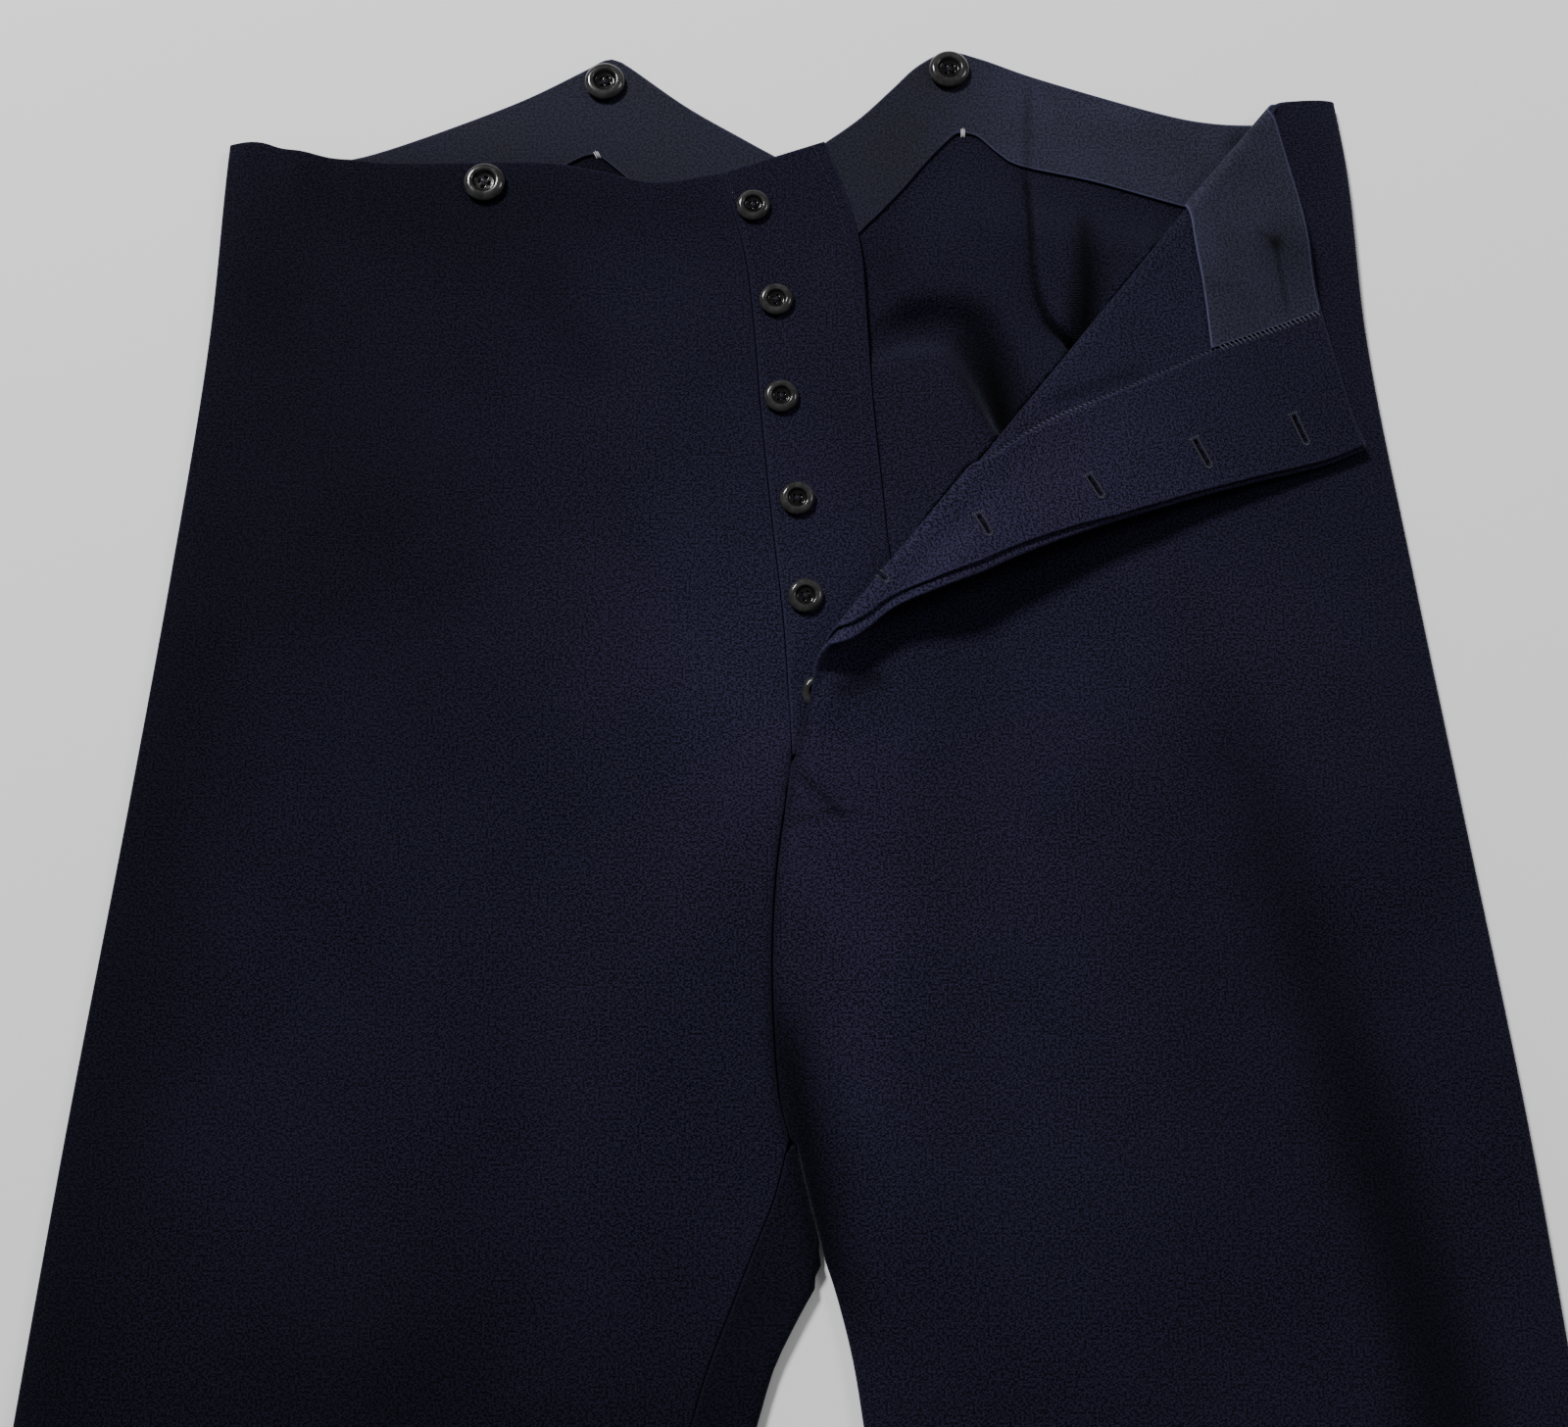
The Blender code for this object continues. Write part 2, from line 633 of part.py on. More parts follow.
def facing_low(x):
    """y of the left back facing's lower edge at each x."""
    low = np.vstack([run(r) for r in LEFT_FACING_LOW])
    return np.interp(x, low[:, 0], low[:, 1])


def from_stand(points):
    """How far each point is past the button stand's free edge, along x."""
    edge = run(STAND_FREE_EDGE)
    return points[:, 0] - np.interp(points[:, 1], edge[::-1, 1], edge[::-1, 0])


def past_roll(points):
    """How far each point is past the roll, counted from the middle of its cloth where the roll is bare and
    from as much further out as the fly facing is thick where that goes round the roll."""
    start, along, across = fold_frame()
    extra = (FLY_CLOTH + GAP) * (1 - smooth_step(*FACING_ON_ROLL, (points - start) @ along))
    return (points - start) @ across - ROLL - extra


def back_swell(points):
    """Height of the left back in the open fly: highest against the roll, falling off away from it, level
    again under the pieces over it, and cut by two hollows and by the dart's one-sided hollow."""
    from_roll = past_roll(points)
    low = np.vstack([run(r) for r in LEFT_FACING_LOW])
    height = SWELL_FAR + (1 - SWELL_FAR) * np.exp(-np.maximum(from_roll - 1, 0) / SWELL_FADE)
    height = height * smooth_step(*SWELL_FROM_ROLL, from_roll)
    beyond = from_stand(points)
    beside_stand, away = smooth_step(*SWELL_AT_STAND, beyond), smooth_step(*SWELL_FROM_STAND, beyond)
    share = SWELL_AT_STAND_SHARE * (1 - smooth_step(*SWELL_AT_STAND_UP_TO, points[:, 1]))
    height = height * (away + (beside_stand - away) * share)
    below = points[:, 1] < facing_low(points[:, 0])
    height = height * smooth_step(*SWELL_FROM_FACING, distance_to_path(points, low)) * below
    for hollow in (BROAD_HOLLOW, NARROW_HOLLOW):
        far, facts, _ = nearest_on(points, hollow)
        height = height * (1 - facts[:, 1] * np.exp(-((far / facts[:, 0]) ** HOLLOW_POWER)))
    far, facts, side = nearest_on(points, DART_HOLLOW)
    reach = np.where(side < 0, facts[:, 0], DART_STEP)
    return SWELL_HEIGHT * height * (1 - facts[:, 1] * np.exp(-far / reach))


def lay_left_back(flat):
    """The left back: flat on the table but for its swell in the open fly."""
    return np.column_stack([flat, CLOTH / 2 + back_swell(flat)]), upright(len(flat))


def steepness(points, reach=0.8):
    """How many times deeper upright than square to itself the cloth is on the swell's slopes."""
    rise = [back_swell(points + d) - back_swell(points - d) for d in ((reach, 0), (0, reach))]
    return np.minimum(np.hypot(1, np.hypot(*rise) / (2 * reach)), STEEP)


def swell_points():
    """Points of the left back in the open fly: close rows beside the roll, the hollows and the dart, then a
    wider field, each point kept only where it stands clear of the ones before it."""
    start, along, across = fold_frame()
    reach = np.arange(30, 270, ROW_PITCH)[:, None]
    rows = [moved(run(STAND_FREE_EDGE, ROW_PITCH), dx=by) for by in STAND_ROWS]
    rows += [moved(run(part, ROW_PITCH), dy=by) for part in LEFT_FACING_LOW for by in FACING_ROWS]
    line = start + reach * along + ROLL * across
    rows += [line + (by - past_roll(line))[:, None] * across for by in ROLL_ROWS]
    for table, offsets in ((DART_HOLLOW, DART_ROWS), (NARROW_HOLLOW, NARROW_ROWS), (BROAD_HOLLOW, BROAD_ROWS)):
        path = run([row[:2] for row in table], ROW_PITCH)
        ahead = np.gradient(path, axis=0)
        ahead = ahead / np.linalg.norm(ahead, axis=1)[:, None]
        sideways = np.column_stack([-ahead[:, 1], ahead[:, 0]])
        rows += [path + sideways * by for by in offsets]
    xs, ys = np.meshgrid(np.arange(34, 190, SWELL_PITCH), np.arange(78, 232, SWELL_PITCH))
    rows.append(np.column_stack([(xs + ys % 16 / 4).ravel(), ys.ravel()]))
    points = np.vstack(rows)
    clear = (past_roll(points) > ROLL_ROWS[0] - 0.1) & (from_stand(points) > STAND_ROWS[0] - 0.1)
    points = points[clear & (points[:, 1] < facing_low(points[:, 0]) - 0.7)]
    near_roll = np.abs(past_roll(points) - 2) < 4.6
    kept = []
    for point, apart in zip(points, np.where(near_roll, 1.2, 2.4)):
        if not kept or np.min(np.linalg.norm(np.array(kept) - point, axis=1)) > apart:
            kept.append(point)
    return np.array(kept)


def dart_height(points, path):
    """A low rounded tuck beside the dart's seam, steep on the seam's side and sloping on the other."""
    line = run(path, 6)
    near = distance_to_path(points, line)
    seam_x = np.interp(points[:, 1], line[::-1, 1], line[::-1, 0])
    side = (points[:, 0] - seam_x) * np.sign(line[0, 0])
    ends = smooth_step(line[-1, 1] - 2, line[-1, 1] + 12, points[:, 1])
    ends = ends * (1 - smooth_step(line[0, 1] - 1, line[0, 1] + 1, points[:, 1]))
    slope = np.where(side < 0, smooth_step(-3, 0, side), 1 - smooth_step(2, DART_WIDTH, side))
    return DART_HEIGHT * ends * slope * (near < 2 * DART_WIDTH)


def dart_points(path):
    line = run(path, 9)
    sign = np.sign(line[0, 0])
    rows = [moved(line, dx * sign) for dx in (-3.0, 0.0, 2.5, 6.5, DART_WIDTH)]
    top = moved(line[:1], dy=1.5)
    return np.vstack([*rows, *[moved(top, dx * sign) for dx in (-3.0, 0.0, 2.5, 6.5, DART_WIDTH)]])


def hem_ys():
    """y at the inner and at the outer end of a hem."""
    half = HEM_LEAN * 107
    return HEM_Y - half, HEM_Y + half


def make_right_front(cloth):
    inner_y, outer_y = hem_ys()
    outline = joined(
        run(RIGHT_WAIST),
        moved(run(STAND_SEAM), -GAP / 2),
        moved(run(CROTCH_SEAM), -GAP / 2),
        moved(column_run(INNERS, 1, INNERS[0, 0], inner_y), -GAP / 2),
        column_run(SIDES, 1, outer_y, 231),
    )
    side = column_run(SIDES, 1, outer_y, 231)
    rows = [beside(side, by) for by in (6.0, 16.0)]
    field = field_points(outline)
    field = field[field[:, 0] > table_x(SIDES, 1, field[:, 1]) + 24]
    flat, faces = triangulated(outline, np.vstack([field, *rows]))
    return wall("right_front", flat, faces, lay_right_front, -CLOTH / 2, CLOTH / 2, cloth)


def left_front_outline():
    inner_y, outer_y = hem_ys()
    outline = joined(
        run(LEFT_WAIST)[::-1],
        run(FLY_EDGE)[::-1],
        moved(run(CROTCH_SEAM)[1:], GAP / 2),
        column_run(INNERS, 3, INNERS[0, 0], inner_y),
        column_run(SIDES, 2, outer_y, 250),
    )
    return split_at_roll(outline)


def front_facing_outline():
    """The left front's waist facing: inside the waist edge, up to the fly facing."""
    low = run(FRONT_FACING_LOW)
    waist = run(LEFT_WAIST)
    side_x = low[0, 0]
    fly_top = (FLY_FACING_INNER[0][0] + GAP, FLY_FACING_INNER[0][1])
    top = waist[(waist[:, 0] < side_x - 2) & (waist[:, 0] > fly_top[0] + 2)] - (0, FACING_INSET)
    side_top = (side_x, np.interp(side_x, waist[:, 0], waist[:, 1]) - FACING_INSET)
    return split_at_roll(joined([fly_top], top, [side_top], low))


def fly_facing_outline():
    inset = np.array(FLY_FACING_INSET)
    ys = np.array(FLY_FACING_FRONT_YS)
    front = np.column_stack([fly_edge_x(ys) + np.interp(ys, inset[:, 0], inset[:, 1]), ys])
    return split_at_roll(joined(run(FLY_FACING_INNER), front))


def rings_round(spot, radii, count=8):
    """A point at the spot and rings of points round it."""
    turns = np.arange(count) * 2 * math.pi / count
    ring = np.column_stack([np.cos(turns), np.sin(turns)])
    return np.vstack([[spot], *[np.array(spot) + radius * ring for radius in radii]])


def make_left_front(cloth, twill):
    """The left front with its two facings, which are its own points moved out on the inner face."""
    outline, waist, fly = left_front_outline(), front_facing_outline(), fly_facing_outline()
    holes = [buttonhole(*row) for row in BUTTONHOLES]
    loops = [waist, fly, *holes]
    low_fly = np.array([(x, y) for y in range(-95, 80, 11) for x in range(2 + y % 22 // 2, 92, 11)], float)
    low_fly = low_fly[inside(low_fly, outline) & (distance_to_path(low_fly, outline, closed=True) > 4)]
    field = field_points(outline)
    field = field[(field[:, 0] > 100) | (np.abs(field[:, 1] + 8) > 98)]
    side = column_run(SIDES, 2, hem_ys()[1], 250)
    field = field[field[:, 0] < table_x(SIDES, 2, field[:, 1]) - 24]
    field = field[np.linalg.norm(field - LEFT_FRONT_BRACE, axis=1) > OVER_BUTTON_RADII[-1] + 5]
    over_button = rings_round(LEFT_FRONT_BRACE, OVER_BUTTON_RADII)
    over_button = over_button[inside(over_button, outline)]
    rows = [beside(side, by) for by in (-6.0, -16.0)]
    extra = away_from_roll(np.vstack([field, low_fly, over_button, *rows]))
    for loop in loops:
        extra = extra[distance_to_path(extra, loop, closed=True) > 1.6]
    for hole in holes:
        extra = extra[~inside(extra, np.array(hole))]
    flat, faces = triangulated(outline, extra, loops, roll_lines(outline))
    inner = -(CLOTH / 2 + GAP)
    front = wall("left_front", flat, faces, lay_left_front, -CLOTH / 2, CLOTH / 2, cloth)
    waist_part = part_within(flat, faces, waist)
    fly_part = part_within(flat, faces, fly, holes)
    return [
        front,
        wall("left_front_facing", *waist_part, lay_left_front, inner - TWILL, inner, twill),
        wall("fly_facing", *fly_part, lay_left_front, inner - FLY_CLOTH, inner, cloth),
    ]


def make_right_back(cloth):
    inner_y, outer_y = hem_ys()
    crotch_y = INNERS[0, 0] - 0.4
    inseam = moved(column_run(INNERS, 1, INNERS[0, 0], inner_y), GAP / 2)
    inseam[0] = (float(table_x(INNERS, 1, WRAP_FROM_Y)) + GAP / 2, WRAP_FROM_Y)
    centre = np.array([(CENTRE_BACK_X - GAP / 2, 226), (CENTRE_BACK_X - GAP / 2, crotch_y)])
    outer = column_run(SIDES, 1, outer_y, 228.5)
    top = np.vstack([run(r) for r in RIGHT_BACK_TOP])
    # x counts from the folded edge here
    from_fold = lambda p: np.column_stack([p[:, 0] - wrap_x(p[:, 1]), p[:, 1]])
    wrapped = np.column_stack([wrap_x(inseam[:, 1]) - inseam[:, 0] + (math.pi - 2) * WRAP, inseam[:, 1]])
    outline = joined(from_fold(top), from_fold(centre), wrapped, from_fold(outer))
    steps = -WRAP + np.arange(0, WRAP_STEPS + 1) / WRAP_STEPS * math.pi * WRAP
    out = []
    for p, q in zip(outline, np.roll(outline, -1, axis=0)):
        cuts = [(s - p[0]) / (q[0] - p[0]) for s in steps if (s - p[0]) * (s - q[0]) < 0]
        out += [p, *[p + (q - p) * t for t in sorted(cuts)]]
    outline = np.array([p for i, p in enumerate(out) if np.linalg.norm(p - out[i - 1]) > 0.15])
    wrap_ys = inseam[1:-1, 1]
    lines = []
    for x in steps:
        ends = outline[np.abs(outline[:, 0] - x) < 0.05][:, 1]
        ends = ends[ends < crotch_y + 1]
        ys = [ends.max(), *wrap_ys[(wrap_ys < ends.max() - 2) & (wrap_ys > ends.min() + 2)], ends.min()]
        lines.append(np.column_stack([np.full(len(ys), x), ys]))
    dart = from_fold(dart_points(RIGHT_DART))
    flat, faces = triangulated(outline, dart, lines=lines)
    laid, _ = lay_right_back(flat)
    high = CLOTH / 2 + dart_height(laid[:, :2], RIGHT_DART) * (flat[:, 0] < -WRAP)
    return wall("right_back", flat, faces, lay_right_back, -CLOTH / 2, high, cloth)


def make_left_back(cloth):
    inner_y, outer_y = hem_ys()
    outline = joined(
        moved(run(LEFT_BACK_TOP)[:1], GAP / 2),
        run(LEFT_BACK_TOP)[1:],
        column_run(SIDES, 2, 240, outer_y),
        column_run(INNERS, 3, inner_y, INNERS[0, 0]),
        [(CENTRE_BACK_X + GAP / 2, INNERS[0, 0])],
    )[::-1]
    swells = swell_points()
    dart = dart_points(LEFT_DART)
    dart = dart[dart[:, 1] > facing_low(dart[:, 0]) - 0.2]
    flat, faces = triangulated(outline, np.vstack([dart, swells]))
    deep = steepness(flat) * CLOTH / 2
    low = -np.minimum(deep, lay_left_back(flat)[0][:, 2])
    return wall("left_back", flat, faces, lay_left_back, low, deep + dart_height(flat, LEFT_DART), cloth)


def make_back_facings(twill):
    right_top = np.vstack([run(r) for r in RIGHT_BACK_TOP])
    right_top = right_top[right_top[:, 0] > RIGHT_FACING_LOW[0][0][0]] - (0, FACING_INSET)
    right_low = np.vstack([run(r) for r in RIGHT_FACING_LOW])
    right_top[-1, 0] = right_low[-1, 0]
    right_top[0, 0] = right_low[0, 0]
    right = joined(right_top, right_low[::-1])
    left_top = run(LEFT_BACK_TOP)
    left_low = np.vstack([run(r) for r in LEFT_FACING_LOW])
    left_top = left_top[left_top[:, 0] < left_low[-1, 0]] - (0, FACING_INSET)
    left_top[0, 0] = left_low[0, 0]
    left_top[-1, 0] = left_low[-1, 0]
    left = joined(left_top, left_low[::-1])
    lay = lay_at(ON_BACK + TWILL / 2)
    made = []
    for name, outline in (("right_back_facing", right), ("left_back_facing", left)):
        flat, faces = triangulated(outline)
        made.append(wall(name, flat, faces, lay, -TWILL / 2, TWILL / 2, twill))
    return made


def buttonhole(x, y, length, tilt):
    """Corners of one buttonhole."""
    long, half = length / 2, BUTTONHOLE_WIDTH / 2
    c, s = math.cos(math.radians(tilt)), math.sin(math.radians(tilt))
    corners = ((-long, -half), (long, -half), (long, half), (-long, half))
    return [(x + a * c - b * s, y + a * s + b * c) for a, b in corners]


def make_button_stand(cloth):
    outline = joined(
        moved(run(STAND_SEAM)[::-1], GAP / 2),
        [(16, 232)],
        run(STAND_FREE_EDGE),
    )
    flat, faces = triangulated(outline)
    return wall("button_stand", flat, faces, lay_at(ON_BACK_FACING + CLOTH / 2), -CLOTH / 2, CLOTH / 2, cloth)


def button_mesh(name, radius, height, horn):
    """A four-hole button turned about Z: a flat back, a rounded rim and a sunken middle."""
    profile = ((0.0, 0.0), (0.84, 0.0), (1.0, 0.48), (0.92, 0.90), (0.78, 1.0), (0.60, 0.62), (0.0, 0.52))
    verts, rings = [], []
    for r, z in profile:
        if r == 0:
            rings.append([len(verts)])
            verts.append((0, 0, z * height * MM))
            continue
        rings.append(list(range(len(verts), len(verts) + BUTTON_SIDES)))
        for k in range(BUTTON_SIDES):
            a = 2 * math.pi * k / BUTTON_SIDES
            verts.append((r * radius * MM * math.cos(a), r * radius * MM * math.sin(a), z * height * MM))
    faces = []
    for low, high in zip(rings, rings[1:]):
        for k in range(BUTTON_SIDES):
            m = (k + 1) % BUTTON_SIDES
            if len(low) == 1:
                faces.append((low[0], high[m], high[k]))
            elif len(high) == 1:
                faces.append((low[k], low[m], high[0]))
            else:
                faces.append((low[k], low[m], high[m], high[k]))
    mesh = bpy.data.meshes.new(name)
    mesh.from_pydata(verts, [], faces)
    mesh.materials.append(horn)
    mesh.update()
    return mesh


def thread_holes(name, radius, height):
    """Four pins that bore the thread holes, as one hidden cutter."""
    verts, faces = [], []
    sides = 6
    for quarter in range(4):
        a = math.pi / 4 + quarter * math.pi / 2
        cx, cy = 0.24 * radius * math.cos(a), 0.24 * radius * math.sin(a)
        start = len(verts)
        for z in (-1.0, height + 1.0):
            for k in range(sides):
                b = 2 * math.pi * k / sides
                x, y = cx + 0.10 * radius * math.cos(b), cy + 0.10 * radius * math.sin(b)
                verts.append((x * MM, y * MM, z * MM))
        faces.append(tuple(start + k for k in range(sides))[::-1])
        faces.append(tuple(start + sides + k for k in range(sides)))
        for k in range(sides):
            m = (k + 1) % sides
            faces.append((start + k, start + m, start + sides + m, start + sides + k))
    mesh = bpy.data.meshes.new(name)
    mesh.from_pydata(verts, [], faces)
    cutter = bpy.data.objects.new(name, mesh)
    bpy.context.scene.collection.objects.link(cutter)
    cutter.hide_render = True
    cutter.display_type = "WIRE"
    return cutter


def seat_button(name, mesh, cutter, spot, normal, material_):
    """A button on the cloth: its back at spot, its axis along normal, its thread holes bored."""
    button = place(name, mesh.copy(), material_)
    button.rotation_mode = "QUATERNION"
    button.rotation_quaternion = Vector((0, 0, 1)).rotation_difference(Vector(normal))
    button.location = Vector(spot) * MM
    bore = cutter.copy()
    bore.name = cutter.name + "_" + name
    bpy.context.scene.collection.objects.link(bore)
    bore.parent = button
    cut = button.modifiers.new("thread holes", "BOOLEAN")
    cut.operation = "DIFFERENCE"
    cut.object = bore
    return button


def make_buttons(horn):
    fly_mesh = button_mesh("fly_button", FLY_BUTTON_RADIUS, FLY_BUTTON_HEIGHT, horn)
    fly_bore = thread_holes("fly_bore", FLY_BUTTON_RADIUS, FLY_BUTTON_HEIGHT)
    brace_mesh = button_mesh("brace_button", BRACE_BUTTON_RADIUS, BRACE_BUTTON_HEIGHT, horn)
    brace_bore = thread_holes("brace_bore", BRACE_BUTTON_RADIUS, BRACE_BUTTON_HEIGHT)
    up = (0, 0, 1)
    stand_top = ON_BACK_FACING + CLOTH + GAP
    for number, (x, y) in enumerate(FLY_BUTTONS, 1):
        seat_button(f"fly_button_{number}", fly_mesh, fly_bore, (x, y, stand_top), up, horn)
    facing_top = ON_BACK + TWILL + GAP
    seat_button("right_back_brace_button", brace_mesh, brace_bore, (*RIGHT_BACK_BRACE, facing_top), up, horn)
    seat_button("left_back_brace_button", brace_mesh, brace_bore, (*LEFT_BACK_BRACE, facing_top), up, horn)
    for name, lay, at, shank in (
        ("right_front_brace_button", lay_right_front, RIGHT_FRONT_BRACE, 0.1),
        ("left_front_brace_button", lay_left_front, LEFT_FRONT_BRACE, LEFT_FRONT_SHANK),
    ):
        normal = normal_at(lay, at)
        middle = lay(np.array([at], float))[0][0] + normal * (CLOTH / 2 + GAP + shank)
        seat_button(name, brace_mesh, brace_bore, middle, normal, horn)


def centre_on_origin():
    """Moves the garment so that the middle of its plan lies over the origin."""
    bpy.context.view_layer.update()
    made = [o for o in bpy.data.objects if o.type == "MESH" and not o.hide_render]
    corners = np.array([(o.matrix_world @ v.co)[:2] for o in made for v in o.data.vertices])
    middle = (corners.min(0) + corners.max(0)) / 2
    for o in made:
        o.location = Vector(o.location) - Vector((*middle, 0))


def main():
    clear_scene()
    navy = material("navy_wool", (0.012, 0.014, 0.028), 0.92)
    twill = material("facing_twill", (0.035, 0.038, 0.055), 0.88)
    horn = material("button_black", (0.015, 0.015, 0.017), 0.25)
    make_right_back(navy)
    make_left_back(navy)
    make_back_facings(twill)
    make_right_front(navy)
    make_button_stand(navy)
    make_left_front(navy, twill)
    make_buttons(horn)
    centre_on_origin()


main()
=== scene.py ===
"""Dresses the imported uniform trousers: cloth panels, facings, buttons, sewing, floor, light and camera.

The garment's sizes are in millimetres in the tailor's table frame, x to the right and y towards the
waist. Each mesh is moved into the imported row's frame and turned into metres as it is made.
"""

import math

import bpy
import numpy as np
from bpy.props import FloatProperty, FloatVectorProperty, PointerProperty
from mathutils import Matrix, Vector


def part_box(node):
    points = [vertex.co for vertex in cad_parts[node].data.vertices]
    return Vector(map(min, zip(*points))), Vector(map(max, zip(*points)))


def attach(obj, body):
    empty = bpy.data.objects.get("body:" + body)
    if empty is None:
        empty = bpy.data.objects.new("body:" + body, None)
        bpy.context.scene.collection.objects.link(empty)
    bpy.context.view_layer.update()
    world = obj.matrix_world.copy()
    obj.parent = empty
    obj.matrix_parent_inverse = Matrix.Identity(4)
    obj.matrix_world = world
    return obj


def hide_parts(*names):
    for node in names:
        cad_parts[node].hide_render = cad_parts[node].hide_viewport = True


bl_info = {
    "name": "Uniform Trousers",
    "version": (1, 0, 0),
    "blender": (4, 5, 0),
    "location": "View3D > Sidebar > Trousers",
    "description": "Cloth, facings, buttons and sewing of uniform trousers laid flat",
    "category": "Add Mesh",
}

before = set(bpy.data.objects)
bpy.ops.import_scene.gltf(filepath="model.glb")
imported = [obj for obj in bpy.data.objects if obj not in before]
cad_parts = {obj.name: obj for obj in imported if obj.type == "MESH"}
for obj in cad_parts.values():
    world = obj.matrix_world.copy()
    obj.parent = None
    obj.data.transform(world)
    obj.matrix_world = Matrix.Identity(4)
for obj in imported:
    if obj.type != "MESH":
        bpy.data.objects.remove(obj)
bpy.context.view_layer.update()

MM = 0.001

# Thickness of the cloths, and the gap kept between pieces
CLOTH = 1.8
TWILL = 1.0
FLY_CLOTH = 1.4
GAP = 0.3

# Heights of the undersides that lie on the backs
ON_BACK = CLOTH + GAP
ON_BACK_FACING = ON_BACK + TWILL + GAP
ON_FRONT_FACING = ON_BACK_FACING + TWILL + GAP
ON_STAND = ON_BACK_FACING + CLOTH + GAP
OVER_FLY = ON_STAND + FLY_CLOTH + GAP

# Outer side seams, shared by front and back of each leg
SIDES = np.array(
    [  # y, right leg x, left leg x
        (250, -218.5, 219.0),
        (226, -219.5, 221.5),
        (150, -221.0, 224.0),
        (54, -228.0, 234.0),
        (-33, -236.0, 244.0),
        (-152, -248.0, 257.5),
        (-243, -256.0, 265.0),
        (-520, -277.0, 285.0),
        (-910, -304.5, 313.5),
    ]
)

# Inner edges of the legs below the crotch
INNERS = np.array(
    [  # y, right inseam x, right folded edge x, left edge x
        (-150, 2.0, 3.5, 3.9),
        (-172, -4.0, 8.8, 9.3),
        (-184, -9.0, 11.9, 12.5),
        (-190, -11.6, 12.7, 13.9),
        (-197, -14.4, 11.6, 16.3),
        (-206, -18.0, 6.5, 19.0),
        (-222, -24.5, -2.0, 23.0),
        (-243, -31.0, -9.0, 26.5),
        (-330, -44.0, -25.0, 36.0),
        (-520, -63.0, -46.0, 54.0),
        (-910, -103.0, -89.0, 98.0),
    ]
)

HEM_INNER_Y = -899.6
HEM_OUTER_Y = -880.4
CROTCH_Y = -150

# Runs of the outlines, x and y, each a smooth curve through its points
RIGHT_WAIST = (
    (-219.2, 231), (-206, 231), (-193, 227), (-160, 222), (-98, 222), (-72, 218), (-50, 213.5), (-25, 218),
)
STAND_SEAM = ((-25, 218), (-16, 187), (-12, 158), (-8.5, 115), (-4, 70), (0, 33), (3, -16))
CROTCH_SEAM = ((3, -16), (1, -30), (-3, -60), (-4.2, -96), (-2, -133), (2, -150))
STAND_FREE_EDGE = (
    (16, 232), (24, 210), (30, 185), (32, 155), (34, 120), (38, 75), (40, 48), (36, 20), (24, -4), (5, -15),
)
LEFT_WAIST = ((42.8, 241.3), (61, 240), (104, 240.5), (128, 243), (157, 246), (191, 247.5), (219, 250))
FLY_EDGE = (
    (4, -18), (5, -11.5), (7.2, -2.5), (9.2, 4), (10.5, 10.5), (10.3, 17), (9.6, 25), (9.8, 33),
    (13.4, 42), (17.4, 50), (19.4, 57.5), (20.2, 64), (21.2, 73), (23, 84), (25.6, 95), (28.2, 108),
    (30.9, 124), (33, 139), (34.8, 155), (36.8, 175), (38.4, 200), (39.8, 225), (42.8, 241.3),
)
RIGHT_BACK_TOP = (
    (
        (-219.2, 228.5), (-200, 225.5), (-178, 225), (-155, 231),
        (-109, 250), (-82, 264.5), (-73, 270), (-69, 271),
    ),
    ((-69, 271), (-63, 268), (-39, 249.5), (-16, 235), (-1, 226)),
)
LEFT_BACK_TOP = (
    (-1, 226), (8, 228), (19, 235.5), (31, 245), (43, 257), (54, 268), (66, 274), (79, 271), (102, 262),
    (148, 247), (171, 242), (195, 241), (220.4, 240),
)
CENTRE_BACK_X = -1.0
CENTRE_BACK_TOP = 226
RIGHT_FACING_LOW = (
    ((-206, 184), (-160, 193), (-110, 208), (-92, 219), (-80, 226), (-74, 227.5)),
    ((-74, 227.5), (-62, 217), (-30, 187), (-2.2, 163)),
)
LEFT_FACING_LOW = (
    ((0.2, 163), (29, 193), (44, 209), (58, 226), (67, 235.5), (71, 237)),
    ((71, 237), (77, 235), (85, 227.5), (94, 222), (123, 215), (162, 203), (208, 192)),
)
FRONT_FACING_LOW = ((208, 207), (161, 201.5), (136, 197.8), (115, 195.7), (91.2, 192.4))
FACING_INSET = 1.2
FLY_FACING_INNER = (
    (98.7, 238.8), (94, 213.5), (89.8, 190), (84.6, 168.5), (80.4, 147.6), (76.9, 129.5), (73.9, 119),
    (70, 108.7), (66, 98.5), (57, 62), (43.5, 16), (26, -24), (14, -31),
)
FLY_FACING_TOP_Y = 239.2
FLY_FACING_LOW_Y = -26.0
FLY_FACING_INSET = (  # y, how far inside the fly edge
    (-31, 7.0), (8, 6.5), (40, 4.2), (95, 3.6), (124, 2.6), (140, 1.4), (245, 1.2),
)

# Grids of the panels: stretches along a border, each a length and the pitch of its lines, or a length
# alone where the pitch is one of the add-on's sizes
FRONT_WIDTH = 215
FRONT_UPPER = 480
FRONT_LEG = 650
LEFT_BACK_ACROSS = ((30, 3.4), (20, 1.1), (92, 1.15), (42, 1.6), (38, 3.4))
LEFT_BACK_DOWN = ((26, 2.2), (106, 1.25), (62, 1.45), (300, 5.0), (656, 9.0))
RIGHT_BACK_ACROSS = ((180, 5.0), (70, 1.2))
RIGHT_BACK_DOWN = ((376, 4.0), (34, 1.5), (710, 6.5))
STAND_WIDTH = 45
STAND_LENGTH = 250
LEFT_FACING_ACROSS = (70.8, 137)
RIGHT_FACING_ACROSS = (132, 5, 66.8)
BACK_FACING_DEPTH = 50
FRONT_FACING_ACROSS = (114, 1.0)
FRONT_FACING_DOWN = (46, 1.0)
FLY_FACING_ACROSS = (56, 0.7)
FLY_FACING_DOWN = (272, 0.62)

